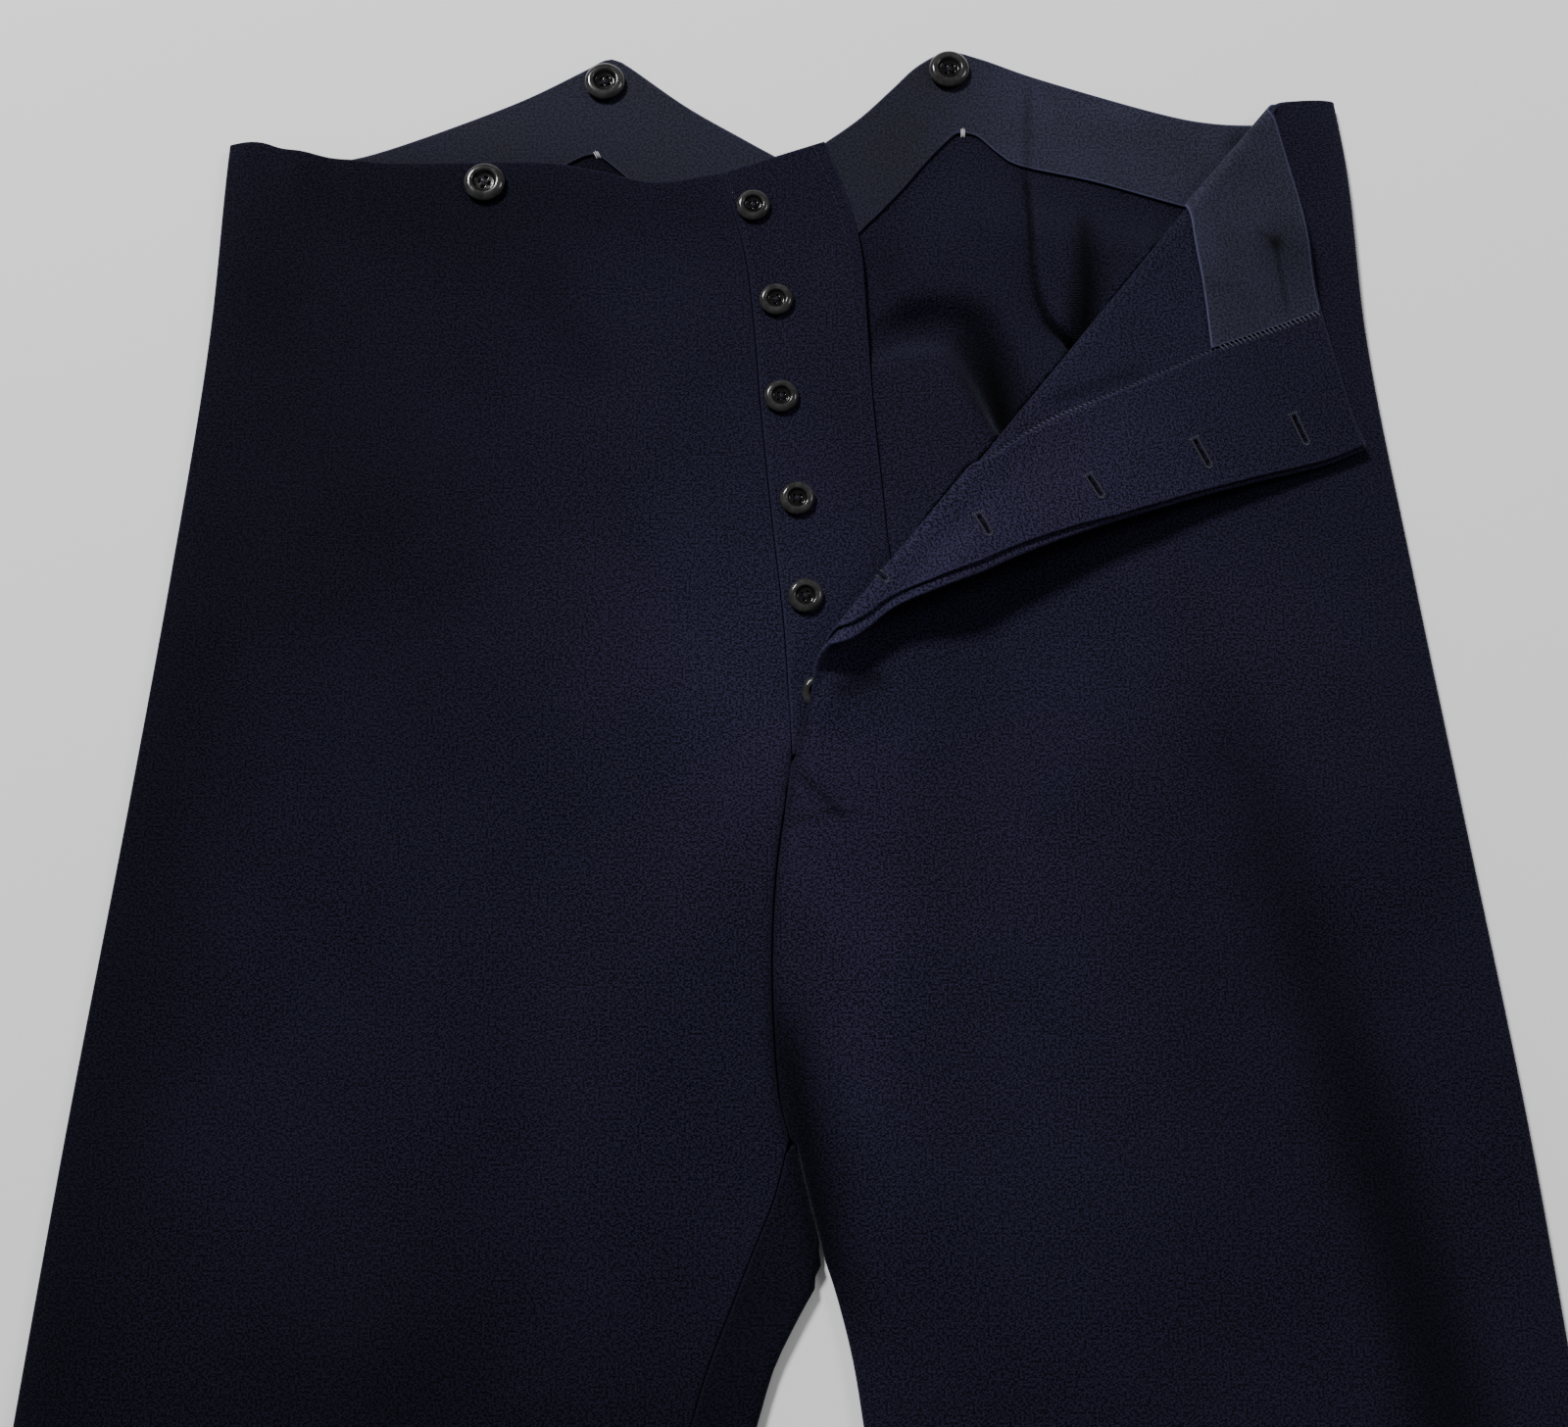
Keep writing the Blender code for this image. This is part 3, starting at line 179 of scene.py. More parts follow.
# Buttonholes of the fly facing, and how far their slits are short of them, sink and are darkened by painted
# shade
BUTTONHOLES = (
    # middle x, y, length, tilt in degrees
    (54.7, 217.6, 13.0, -9),
    (52.3, 177.7, 12.6, -14),
    (47.0, 134.6, 10.4, -17),
    (41.2, 90.9, 10.4, -11),
    (32.5, 51.0, 10.4, -13),
    (25.5, 13.0, 10.4, -13),
)
SLIT_SHORTER = 1.6
SLIT_SIDE = (0.35, 1.0)
SLIT_DEPTH = 1.25
SLIT_SHADE = 0.85

# The fly facing's painted light and shade: at its low end, how much more up the flap and less near the waist,
# over what y
FLY_FACING_SHADE = 1.2
FLY_FACING_LIGHT = (0.45, (20, 95))
FLY_FACING_DARK = (0.42, (150, 225))

# Where the left front folds over, the radius of its roll, how square the roll's shoulder is, and how far
# the flap sinks behind it and at its corner
FOLD_FROM = (20.0, 27.0)
FOLD_TO = (191.0, 241.0)
ROLL = 6.0
SHOULDER = 4.5
FLAP_DROP = 5.0
FLAP_DROP_REACH = (5.0, 85.0)
CORNER_AT = (222.0, 105.0)
CORNER_DROP = 2.6
CORNER_REACH = 60.0

# How flat the fold and its flap are pressed near the waist edge, less over the brace button under them
WAIST_PRESS = 3.0
WAIST_PRESS_REACH = 30.0
WAIST_PRESS_BUTTON = 0.72
WAIST_PRESS_ROUND_BUTTON = 21.0

# How the flap's free edge stands up: its height, its middle and reach along y, and its reach inwards
EDGE_LIFT = 5.5
EDGE_LIFT_AT = 92.0
EDGE_LIFT_LENGTH = 62.0
EDGE_LIFT_REACH = 38.0

# Pulls of the flap beside its upper buttonholes: height, distance above the hole, and reach in x and in y
PULL = 0.5
PULL_ABOVE = 17
PULL_REACH = (16, 9)
PULLED_HOLES = 4

# Ripples of the right front's waist corner and of the flap's free edge: height, length of a wave, where a
# wave starts, how fast they fade inwards, and where they end
CORNER_RISE = 0.9
CORNER_WAVE = 24
CORNER_WAVE_FROM = -214
CORNER_FADE = 16
CORNER_END = (-190, -150)
FLAP_RIPPLE = 0.9
FLAP_WAVE = 31
FLAP_WAVE_FROM = 8
FLAP_FADE = 13
FLAP_LOW_END = (-12, 12)
FLAP_HIGH_END = (72, 110)

# Unevenness of worn cloth, how much a front rises between its edges, how fast a panel rounds up from an
# edge and how fast its folds and waves come in there
WORN_WAVES = 0.22
CROWN = 1.3
ROUND_UP = 6.0
EASE = 20

# How high the fronts stand over the pieces under them, and over what spans of x and y they rise and fall
RIGHT_FRONT_CLEAR = 0.6
RIGHT_FRONT_CLEAR_Y = (-200, -152)
LEFT_FRONT_CLEAR = 0.4
OVER_FACING_Y = (150, 188)
STAND_CLEAR = 0.1
OVER_FLY_SPAN = (0, 6.2)
OVER_STAND_FROM_X = 40
OVER_STAND_REACH = 18
OVER_STAND_LOW = (-72, -17)
OVER_STAND_LOW_AT_FLY = 30
OVER_STAND_HIGH = (75, 130)
FLY_BASE_Y = (-34, -20)
FLY_BASE_FROM_EDGE = 60
LAST_BUTTON_RISE = 4.2
LAST_BUTTON_REACH = 15

# Soft folds of the fronts
FOLDS = (
    # x0, y0, x1, y1, half width, height
    (143, 62, 232, -205, 17, -1.1),
    (-150, -90, -175, -420, 24, -0.9),
    (52, -20, 118, -210, 20, 0.5),
    (150, -420, 205, -640, 22, -0.9),
    (-80, -430, -190, -560, 20, -0.8),
    (-60, 160, -40, 20, 18, -0.6),
    (18, 8, 34, 14, 4, -0.9),
    (3, -22, 24, -35, 3, -0.7),
)

# The left back in the open fly: how high it stands against the roll, what share of that is left far from
# the roll, over what distances it rises beside the stand, the facing and the roll, and between what
# heights y the grid is drawn to the lines where it rises
SWELL_HEIGHT = 14.0
SWELL_FAR = 0.36
SWELL_FADE = 30.0
SWELL_AT_STAND = (-0.2, 0.9)
SWELL_AT_STAND_SHARE = 0.42
SWELL_AT_STAND_UP_TO = (136.0, 150.0)
SWELL_FROM_STAND = (0.0, 15.0)
SWELL_FROM_FACING = (1.0, 34.0)
SWELL_EDGE = 1.2
SWELL_EDGE_Y = (30, 222)
STAND_EDGE_Y = (50, 200)
STAND_EDGE_NEAR = 0.55
HOLLOW_POWER = 3

# How far along the fold the fly facing goes round the roll, which is thicker by it there
FACING_ON_ROLL = (80.0, 84.0)

# Hollows that cut into that swell
BROAD_HOLLOW = (
    # x, y, half width, depth as a share
    (33, 147, 9, 0.78),
    (48, 150.5, 9, 0.78),
    (59, 151.5, 10, 0.84),
    (68.5, 148, 10.5, 0.92),
    (75, 138, 9.6, 0.95),
    (79.5, 126, 7.8, 0.95),
    (83, 114, 6.2, 0.94),
    (86.5, 103, 4.8, 0.90),
)
NARROW_HOLLOW = (
    # x, y, half width, depth as a share
    (118.0, 207, 3.8, 0.0),
    (117.8, 195, 4.4, 0.34),
    (117.6, 180, 5.2, 0.50),
    (117.3, 164, 6.2, 0.64),
    (116.0, 150, 6.8, 0.74),
    (114.5, 138, 6.8, 0.76),
)
DART_HOLLOW = (
    # x, y, half width, depth as a share
    (95.5, 216, 6, 0.10),
    (95.6, 200, 7, 0.18),
    (95.6, 186, 8, 0.24),
    (96.7, 166, 9, 0.30),
    (100.1, 153.2, 8, 0.36),
    (104.4, 147.1, 7, 0.42),
    (109.5, 141.5, 6, 0.48),
)
DART_STEP = 0.9

# Painted shade in the hollows: where it is darkest
BROAD_HOLLOW_SHADE = (
    # x, y, half width, darkness as a share
    (33, 152, 7, 0.30),
    (50, 156, 8, 0.38),
    (62, 158, 9.5, 0.32),
    (71.5, 156, 9.5, 0.50),
    (77, 142, 9, 0.76),
    (81, 127, 8.4, 0.90),
    (84, 113, 8, 0.96),
    (87, 104, 7, 0.96),
)
NARROW_HOLLOW_SHADE = (
    # x, y, half width, darkness as a share
    (117.5, 202, 2.6, 0.0),
    (117, 192, 3.6, 0.60),
    (116.6, 178, 4.8, 0.86),
    (116.2, 164, 5.8, 0.94),
    (115, 150, 6.4, 0.96),
)

# Painted shade (less than 0) and painted light (more than 0) on the cloth, as powers of e, seen from above
SHADE_BANDS = (
    # x0, y0, x1, y1, half width, amount
    (-205, 235, -330, -900, 34, -0.63),
    (-98, 180, -68, 126, 14, -0.29),
    (-88, -100, -175, -460, 18, -0.10),
    (-130, -190, -205, -700, 100, -0.92),
    (164, 10, 258, -420, 13, -0.46),
    (198, -120, 272, -480, 14, -0.62),
    (150, 40, 172, -110, 14, -0.12),
    (60, -215, 130, -700, 80, -0.16),
    (-2, -105, 17, -203, 4.5, -1.0),
    (2, -100, 22, -215, 9, -0.55),
    (-30, -205, -120, -560, 22, -0.31),
    (97.6, 259, 95.3, 212, 1.5, -0.45),
    (97, 115, 135, 129, 2.2, -0.45),
    (18, 6, 37, 13, 3.6, -0.85),
    (11, 12, 4, -20, 1.5, -0.60),
    (5, -22, 22, -39, 1.5, -0.75),
    (0, -39.5, 29, -35.5, 1.2, -0.45),
    (66, 154, 86, 106, 6.0, -0.50),
    (62, 142, 82, 101, 2.6, -0.35),
    (67, 134, 80, 109, 3.2, -0.45),
)
# Painted shade and light in round spots
SHADE_SPOTS = (
    # x, y, half width in x and in y, amount
    (-130, 208, 100, 26, -0.50),
    (2, 18, 44, 66, 0.30),
    (28, -105, 24, 75, 0.31),
    (150, 30, 70, 55, 0.40),
    (-204, 165, 18, 20, -0.29),
    (-172, 150, 26, 60, -0.18),
    (-115, 180, 34, 34, -0.22),
    (-20, 0, 90, 170, 0.35),
    (95, -100, 40, 110, 0.30),
    (-150, 80, 56, 90, -0.38),
    (40, 178, 11, 17, -0.42),
    (128, 182, 16, 20, -0.32),
    (180, 232, 5, 4, -0.70),
    (135, 250, 30, 9, 0.16),
)

# Painted shade and light of single pieces: painted shade beside the seam between the legs and on the right
# back, painted light on the button stand and on the left front from the roll inwards
SEAM_SHADE = 0.4
SEAM_SHADE_WIDTH = 2.2
RIGHT_BACK_SHADE = 0.62
STAND_SHADE = 1.02
FLAP_LIGHT = 0.5
FLAP_LIGHT_FROM = (2, 18)

# The back facings' painted shade: lowest, how much more at the end of a span of x, and that span
BACK_FACING_SHADES = {"right": (0.70, 0.0, (40, 102)), "left": (0.53, 0.43, (40, 102))}

# Painted light and shade of the left back in the open fly: painted shade on the dart's seam, painted light on
# the wall under the roll, and painted shade on the dart's steep side
DART_SEAM_SHADE = 0.88
DART_SEAM_WIDTH = 1.3
WALL_LIGHT = 1.6
WALL_LIGHT_Y = (105, 150)
DART_SIDE_SHADE = 0.35
DART_SIDE_REACH = 5.0

# Marks on the flap's waist facing: painted shade in its creases, by start, end, half width and darkness, and
# a smudge
FRONT_FACING_CREASES = (
    ((127.5, 228), (100, 226), 1.1, 0.50),
    ((134, 222), (127, 229), 1.0, 0.35),
    ((116, 190), (114, 210), 0.9, 0.22),
)
# Painted light of the flap's waist facing, paler at its inner end
FRONT_FACING_SHADE = (0.86, 0.22, (215, 185))  # lowest, how much more, and over what span of y
SMUDGE_AT = (127.5, 228)
SMUDGES = (  # half width in x and in y, darkness
    (3.0, 2.6, 0.93),
    (11, 9, 0.30),
)

# Darts of the backs, x and y from the facing down to the point
LEFT_DART = ((95.5, 216), (95.5, 192), (97, 167), (101, 152), (108, 144))
RIGHT_DART = ((-96.5, 202), (-96.5, 184), (-98, 165), (-102, 150), (-109, 142))
DART_HEIGHT = 1.1
DART_WIDTH = 11.0

# Buttons: centres in x and y, sizes, and how far each is turned (fly in degrees, brace in radians)
FLY_BUTTONS = ((-12, 203), (-3, 163), (-1, 123), (5, 82), (8, 44), (13, 7.5))
FLY_BUTTON_RADIUS = 6.5
FLY_BUTTON_HEIGHT = 2.7
FLY_BUTTON_SPINS = (12, 30, 4, -3, 20, 41)
BRACE_BUTTON_RADIUS = 8.0
BRACE_BUTTON_HEIGHT = 3.2
LEFT_FRONT_BRACE = (130.5, 231.5)
LEFT_FRONT_SHANK = 0.6
BRACE_BUTTON_SPINS = {"right_front": 0.5, "right_back": 0.2, "left_back": 0.1, "left_front": 0.3}

# The right back's roll round the inner edge of the leg
WRAP = (ON_BACK_FACING + RIGHT_FRONT_CLEAR) / 2
WRAP_FROM_Y = -154.5

# Lines of a panel's grid beside its rounded rim, in millimetres from the edge
RIM_LINES = (0.15, 0.4, 0.8, 1.4, 2.4)

# A button's profile from the middle of its well over the rim to its back: share of radius, share of height
BUTTON_PROFILE = (
    (0.0, 0.46), (0.16, 0.46), (0.36, 0.46), (0.47, 0.50), (0.54, 0.74), (0.59, 0.92), (0.66, 0.98),
    (0.80, 0.95), (0.91, 0.80), (0.985, 0.60), (1.0, 0.45), (0.97, 0.25), (0.86, 0.07), (0.70, 0.0),
    (0.35, 0.0), (0.0, 0.0),
)
BUTTON_SEGMENTS = 60

# A button's painted shade in its well, its four thread holes as shares of its radius and height, and its
# strands
WELL_SHADE = 0.12
WELL_EDGE = (0.48, 0.60)
HOLE_ANGLES = (np.arange(4) + 0.5) * math.pi / 2
HOLE_AT = 0.235
HOLE_RADIUS = 0.085
HOLE_DEPTH = 0.42
STRAND_APART = 0.16
STRAND_RADIUS = 0.2
STRAND_RISE = 0.62

# Whip stitches of the fly facing's inner edge: pitch, wander, where they start and end beside the edge and
# how far they slant, the x between which they are pale, and the y above which they end on the facing
OVERCAST_PITCH = 1.9
OVERCAST_WANDER = 0.25
OVERCAST_FROM = -2.1
OVERCAST_TO = 1.3
OVERCAST_SLANT = 1.0
OVERCAST_CLEAR = (92.0, 117.0)
OVERCAST_ON_FACING = 195.0

# Radius and rise of the pale whip stitches, the faint ones and the buttonholes' stitches
OVERCAST_PALE = (0.2, 0.35)
OVERCAST_FAINT = (0.15, 0.25)
HOLE_STITCH = (0.17, 0.2)

# Buttonhole stitches: how far short of the slit's two ends they stay, pitch, where they start and end
# beside the slit and their slant; the bar's half length, and the fan's half angle and its two radii
HOLE_STITCH_SHORT = (0.9, 0.5)
HOLE_STITCH_PITCH = 0.62
HOLE_STITCH_SIDE = (0.75, 1.7)
HOLE_STITCH_SLANT = 0.12
HOLE_BAR = 1.9
HOLE_FAN = 1.2
HOLE_FAN_RADII = (0.6, 1.6)

# Topstitching: distance from the stand's edge and its seam, and pitch and length of a stitch
STAND_EDGE_INSET = 5.0
STAND_SEAM_INSET = 2.2
STAND_STITCH = (2.6, 1.9)
FLY_BASE = ((5.5, -21), (11, -27.5), (18.5, -33.5), (10, -38), (-0.5, -42))
FLY_BASE_STITCH = (2.2, 1.7)

# Tacks over the peaks of the back facings
TACKS = (
    # x, y, from there to its upper end in x and y, and to its lower end
    (70.4, 236.0, 0, 2.6, 0, -1.4),
    (71.0, 236.4, 0, 2.6, 0, -1.4),
    (71.6, 236.0, 0, 2.6, 0, -1.4),
    (-74.6, 226.6, -0.8, 1.8, 0.8, -1.2),
    (-74.0, 227.0, -0.8, 1.8, 0.8, -1.2),
    (-73.2, 226.8, -0.8, 1.8, 0.8, -1.2),
)
TACK_SINK = 0.9
TACK_RADIUS = 0.22
TACK_RISE = 0.35

# Noises of the finishes: scale per metre, detail and roughness
WOOL_NAP = (1250.0, 1.0, 0.6)
WOOL_FUZZ = (420.0, 3.0, 0.6)
WOOL_PATCHES = (16.0, 3.0, 0.55)
WOOL_HUE = (9.0, 2.0, 0.5)
FACING_SLUB = (1.0, 3.0, 0.6)
FACING_PATCHES = (28.0, 3.0, 0.6)
FACING_GRAIN = (1150.0, 1.0, 0.6)
BUTTON_STREAK = (260.0, 4.0, 0.6)
BUTTON_SCRATCH = (1800.0, 3.0, 0.7)
FLOOR_CLOUD = (3.0, 2.0, 0.5)

# Weaves: pitch in metres, slant in degrees and wander
WOOL_TWILL = (0.0009, 63, 3.0)
FACING_TWILL = (0.0007, 40, 1.5)
THREAD_TWIST = (0.0004, 35, 1.0)
BAND_AT_SCALE_1 = 0.314
SLUB_STRETCH = (60.0, 900.0, 1.0)

# The wool's tints, and its lint: cells per metre, radii where a fleck ends as shares of a cell, colour
TINT_BLUE = (0.97, 1.02, 1.0)
TINT_PURPLE = (1.07, 0.975, 1.01)
LINT_SCALE = 11.0
LINT_SIZE = (0.005, 0.009)
LINT_COLOUR = (0.28, 0.28, 0.30)

# The stage: the floor's height in millimetres; each light's name, place, diameter and size for its power;
# the point that they face; the camera's sensor in millimetres and its nearest distance in metres
FLOOR_Z = -0.3
LIGHTS = (
    ("key_softbox", (-1.15, 2.05, 2.1), 0.6, "key_power"),
    ("side_fill", (1.7, 1.1, 1.6), 0.8, "fill_power"),
)
LIGHTS_AIM = (0, 0.2, 0)
SENSOR_WIDTH = 36.0
CLIP_START = 0.01


def table_shift():
    """From the tailor's table frame to the row frame, in millimetres, by where the first fly button is."""
    low, high = (np.array(corner[:2]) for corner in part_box("fly_button_1"))
    return (low + high) / 2 / MM - FLY_BUTTONS[0]


SHIFT = np.array((*table_shift(), 0.0))


# Curves and tables


def smooth_step(low, high, value):
    """0 below low, 1 above high and 3t^2 - 2t^3 between them."""
    t = np.clip((np.asarray(value, float) - low) / (high - low), 0, 1)
    return t * t * (3 - 2 * t)


def table_x(table, column, y):
    """A column of a table at heights y, as a cubic through its rows with slopes from their neighbours."""
    rows = table[::-1]
    ys, xs = rows[:, 0], rows[:, column]
    slopes = np.gradient(xs, ys)
    y = np.clip(np.asarray(y, float), ys[0], ys[-1])
    k = np.clip(np.searchsorted(ys, y, side="right") - 1, 0, len(ys) - 2)
    h = ys[k + 1] - ys[k]
    t = (y - ys[k]) / h
    return (
        (2 * t**3 - 3 * t**2 + 1) * xs[k]
        + (t**3 - 2 * t**2 + t) * h * slopes[k]
        + (3 * t**2 - 2 * t**3) * xs[k + 1]
        + (t**3 - t**2) * h * slopes[k + 1]
    )


def run(points, step=1.5):
    """A Catmull-Rom curve through the points, at most step apart: on each stretch a cubic whose slopes
    at its ends are half the way from the point before to the point after."""
    p = np.array(points, float)
    e = np.vstack([2 * p[0] - p[1], p, 2 * p[-1] - p[-2]])
    longest = np.linalg.norm(np.diff(p, axis=0), axis=1).max()
    count = max(2, int(np.ceil(longest / step)))
    t = (np.arange(count) / count)[None, :, None]
    a, b, c, d = (e[i : i + len(p) - 1][:, None] for i in range(4))
    q = 0.5 * (2 * b + (c - a) * t + (2 * a - 5 * b + 4 * c - d) * t**2 + (3 * b - a - 3 * c + d) * t**3)
    return np.vstack([q.reshape(-1, p.shape[1]), p[-1:]])


def runs(parts):
    """Several runs, end to end, with a corner where they meet."""
    return np.vstack([run(part) for part in parts])


def unit(vectors):
    """The vectors at a length of 1."""
    return vectors / np.maximum(np.linalg.norm(vectors, axis=-1, keepdims=True), 1e-9)


def lengths_along(path):
    """The length of a path up to each of its points: the sum of its straight pieces."""
    return np.concatenate([[0], np.cumsum(np.linalg.norm(np.diff(path, axis=0), axis=1))])


def along(path, share):
    """Points of a path at shares of its length."""
    at = lengths_along(path)
    want = np.asarray(share, float) * at[-1]
    return np.stack([np.interp(want, at, path[:, k]) for k in range(path.shape[1])], -1)


def graph(path, x):
    """y of a path that runs along x, at each x."""
    order = np.argsort(path[:, 0], kind="stable")
    return np.interp(x, path[order, 0], path[order, 1])


def distance_to_path(points, path):
    """Distance from each point of any array of points to the nearest of a path's straight pieces."""
    shape = points.shape[:-1]
    p = points.reshape(-1, 1, 2)
    a, b = path[:-1], path[1:]
    ab = b - a
    t = np.clip(((p - a) * ab).sum(2) / np.maximum((ab * ab).sum(1), 1e-9), 0, 1)
    return np.linalg.norm(p - a - t[:, :, None] * ab, axis=2).min(1).reshape(shape)


def nearest_on(points, table):
    """Distance from each point to a curve through a table's x and y, the table's other columns there, and
    the side it is on: 1 to the left of the curve's direction, -1 to its right."""
    path = run(table, 2.0)
    spot, ahead = path[:, :2], np.gradient(path[:, :2], axis=0)
    gap = points[..., None, :] - spot
    far = np.hypot(gap[..., 0], gap[..., 1])
    k = far.argmin(-1)
    to = np.take_along_axis(gap, k[..., None, None], -2)[..., 0, :]
    side = np.sign(ahead[k, 0] * to[..., 1] - ahead[k, 1] * to[..., 0])
    return far.min(-1), path[k, 2:], side


def bell(x, y, spot, half_x, half_y):
    """exp(-(dx/half_x)^2 - (dy/half_y)^2): a round hill of height 1."""
    return np.exp(-(((x - spot[0]) / half_x) ** 2) - ((y - spot[1]) / half_y) ** 2)


def valley(x, y, start, end, half_width):
    """A straight channel of depth 1 from start to end: exp(-(across/half width)^2), faded at both ends."""
    ab = np.array(end, float) - start
    length = np.hypot(*ab)
    share = ((x - start[0]) * ab[0] + (y - start[1]) * ab[1]) / length**2
    across = ((y - start[1]) * ab[0] - (x - start[0]) * ab[1]) / length
    fade = smooth_step(-0.12, 0.25, share) * (1 - smooth_step(0.75, 1.12, share))
    return fade * np.exp(-((across / half_width) ** 2))


def soft_shade(x, y):
    """Painted light and shade of the cloth: e to the sum of the bands and spots, times painted shade beside
    the seam between the legs."""
    total = np.zeros_like(x)
    for x0, y0, x1, y1, half_width, amount in SHADE_BANDS:
        total += amount * valley(x, y, (x0, y0), (x1, y1), half_width)
    for x0, y0, half_x, half_y, amount in SHADE_SPOTS:
        total += amount * bell(x, y, (x0, y0), half_x, half_y)
    away = distance_to_path(np.stack([x, y], -1), run(CROTCH_SEAM)[::3])
    return np.exp(total) * (1 - SEAM_SHADE * np.exp(-((away / SEAM_SHADE_WIDTH) ** 2)))


# How each panel lies: from points of its flat pattern to its middle surface and its thickness direction


def upright(flat):
    """Straight up at each point: the thickness direction of level cloth."""
    return np.broadcast_to((0.0, 0.0, 1.0), (*flat.shape[:-1], 3))


def spatial(x, y, z):
    """Points of their three coordinates."""
    return np.stack([x, y, z], -1)


def fold_height(x, y):
    """Sum of the soft folds at each point, each a rounded ridge or trough that fades at its ends."""
    total = np.zeros_like(x)
    for x0, y0, x1, y1, half_width, height in FOLDS:
        total += height * valley(x, y, (x0, y0), (x1, y1), half_width)
    return total


def edge_rise(distance, reach=ROUND_UP):
    """1 - exp(-distance/reach): how the cloth rounds up from a flattened edge."""
    return 1 - np.exp(-np.maximum(distance, 0) / reach)


def inner_x(y, seam, column):
    """x of a front's inner edge: the crotch seam above the crotch and the leg's inner edge below it."""
    path = run(seam)[::-1]
    above = np.interp(y, path[:, 1], path[:, 0])
    return np.where(y > CROTCH_Y, above, table_x(INNERS, column, y))


def right_front_details(x, y):
    """The waist corner, raised and rippled by a cosine that fades away from the waist, and the soft
    unevenness of worn cloth as a product of sines."""
    from_waist = np.maximum(graph(run(RIGHT_WAIST), x) - y, 0)
    corner = np.exp(-from_waist / CORNER_FADE) * (1 - smooth_step(*CORNER_END, x))
    ripple = np.cos((x - CORNER_WAVE_FROM) * 2 * math.pi / CORNER_WAVE) * corner + CORNER_RISE * corner
    waves = WORN_WAVES * np.sin(x / 19 + 1.3 * np.sin(y / 57)) * np.sin(y / 31 + 0.8)
    return ripple + waves


def lay_right_front(flat):
    """The right front, lying over the right back: its level, a crown between its edges, folds and ripples."""
    x, y = flat[..., 0], flat[..., 1]
    outer = table_x(SIDES, 1, y)
    inner = inner_x(y, STAND_SEAM + CROTCH_SEAM[1:], 1)
    u = np.clip((x - outer) / (inner - outer), 0, 1)
    level = ON_BACK_FACING + RIGHT_FRONT_CLEAR * (1 - smooth_step(*RIGHT_FRONT_CLEAR_Y, y))
    under = ON_BACK + (level - ON_BACK) * edge_rise(x - outer) + CROWN * np.sqrt(4 * u * (1 - u))
    ease = edge_rise(x - outer, EASE) * edge_rise(inner - x, EASE)
    z = under + CLOTH / 2 + (fold_height(x, y) + right_front_details(x, y)) * ease
    return spatial(x, y, z), upright(flat)


def fly_edge_x(y):
    """x of the fly edge at heights y."""
    path = run(FLY_EDGE)
    return np.interp(y, path[:, 1], path[:, 0])


def left_front_height(x, y):
    """Height of the left front's middle where it isn't folded: the level over the back, raised where it is
    lower than the stand and the fly facing need, with a round hill over the last button, folds and waves."""
    outer = table_x(SIDES, 2, y)
    inner = inner_x(y, CROTCH_SEAM, 3)
    at_fly = smooth_step(*FLY_BASE_Y, y)
    from_inner = np.where(at_fly > 0, FLY_BASE_FROM_EDGE * at_fly, 0) + np.maximum(x - inner, 0)
    u = np.clip((x - inner) / (outer - inner), 0, 1)
    step = (ON_FRONT_FACING - ON_BACK_FACING) * smooth_step(*OVER_FACING_Y, y)
    level = ON_BACK_FACING + LEFT_FRONT_CLEAR + step
    rise = edge_rise(outer - x) * edge_rise(from_inner)
    under = ON_BACK + (level - ON_BACK) * rise + CROWN * np.sqrt(4 * u * (1 - u))
    from_fly = x - fly_edge_x(y)
    needed = ON_STAND + STAND_CLEAR + (OVER_FLY - ON_STAND) * smooth_step(*OVER_FLY_SPAN, from_fly)
    low, low_top = OVER_STAND_LOW
    fade_low = low + OVER_STAND_LOW_AT_FLY * np.exp(-np.maximum(from_fly, 0) / EASE)
    over_stand = np.exp(-((np.maximum(x - OVER_STAND_FROM_X, 0) / OVER_STAND_REACH) ** 2))
    over_stand = over_stand * smooth_step(fade_low, low_top, y) * (1 - smooth_step(*OVER_STAND_HIGH, y))
    under = under + np.maximum(needed - under, 0) * over_stand
    under = under + LAST_BUTTON_RISE * bell(x, y, FLY_BUTTONS[-1], LAST_BUTTON_REACH, LAST_BUTTON_REACH)
    ease = edge_rise(outer - x, EASE) * edge_rise(from_inner, EASE)
    waves = WORN_WAVES * np.sin(x / 21 + 1.1 * np.sin(y / 49) + 1.0) * np.sin(y / 33)
    return under + CLOTH / 2 + (fold_height(x, y) + waves) * ease


def fold_frame():
    """The fold line's start, its direction, and the direction across it towards the flap."""
    start, end = np.array(FOLD_FROM), np.array(FOLD_TO)
    direction = (end - start) / np.linalg.norm(end - start)
    across = np.array([-direction[1], direction[0]])
    return start - across * ROLL, direction, across


def flap_details(flat, back):
    """Ripples of the flap's free edge near the base of the fly, a sine that fades inwards, and a round pull
    beside each of the upper buttonholes."""
    x, y = flat[..., 0], flat[..., 1]
    from_edge = np.maximum(x - fly_edge_x(y), 0)
    ripple = FLAP_RIPPLE * np.sin((y - FLAP_WAVE_FROM) * 2 * math.pi / FLAP_WAVE)
    ripple = ripple * np.exp(-from_edge / FLAP_FADE)
    ripple = ripple * smooth_step(*FLAP_LOW_END, y) * (1 - smooth_step(*FLAP_HIGH_END, y))
    pulls = np.zeros_like(x)
    for hole_x, hole_y, _, _ in BUTTONHOLES[:PULLED_HOLES]:
        pulls += PULL * bell(x, y, (hole_x, hole_y + PULL_ABOVE), *PULL_REACH)
    return ripple * smooth_step(0, 10, back) + pulls * smooth_step(6, 20, back)


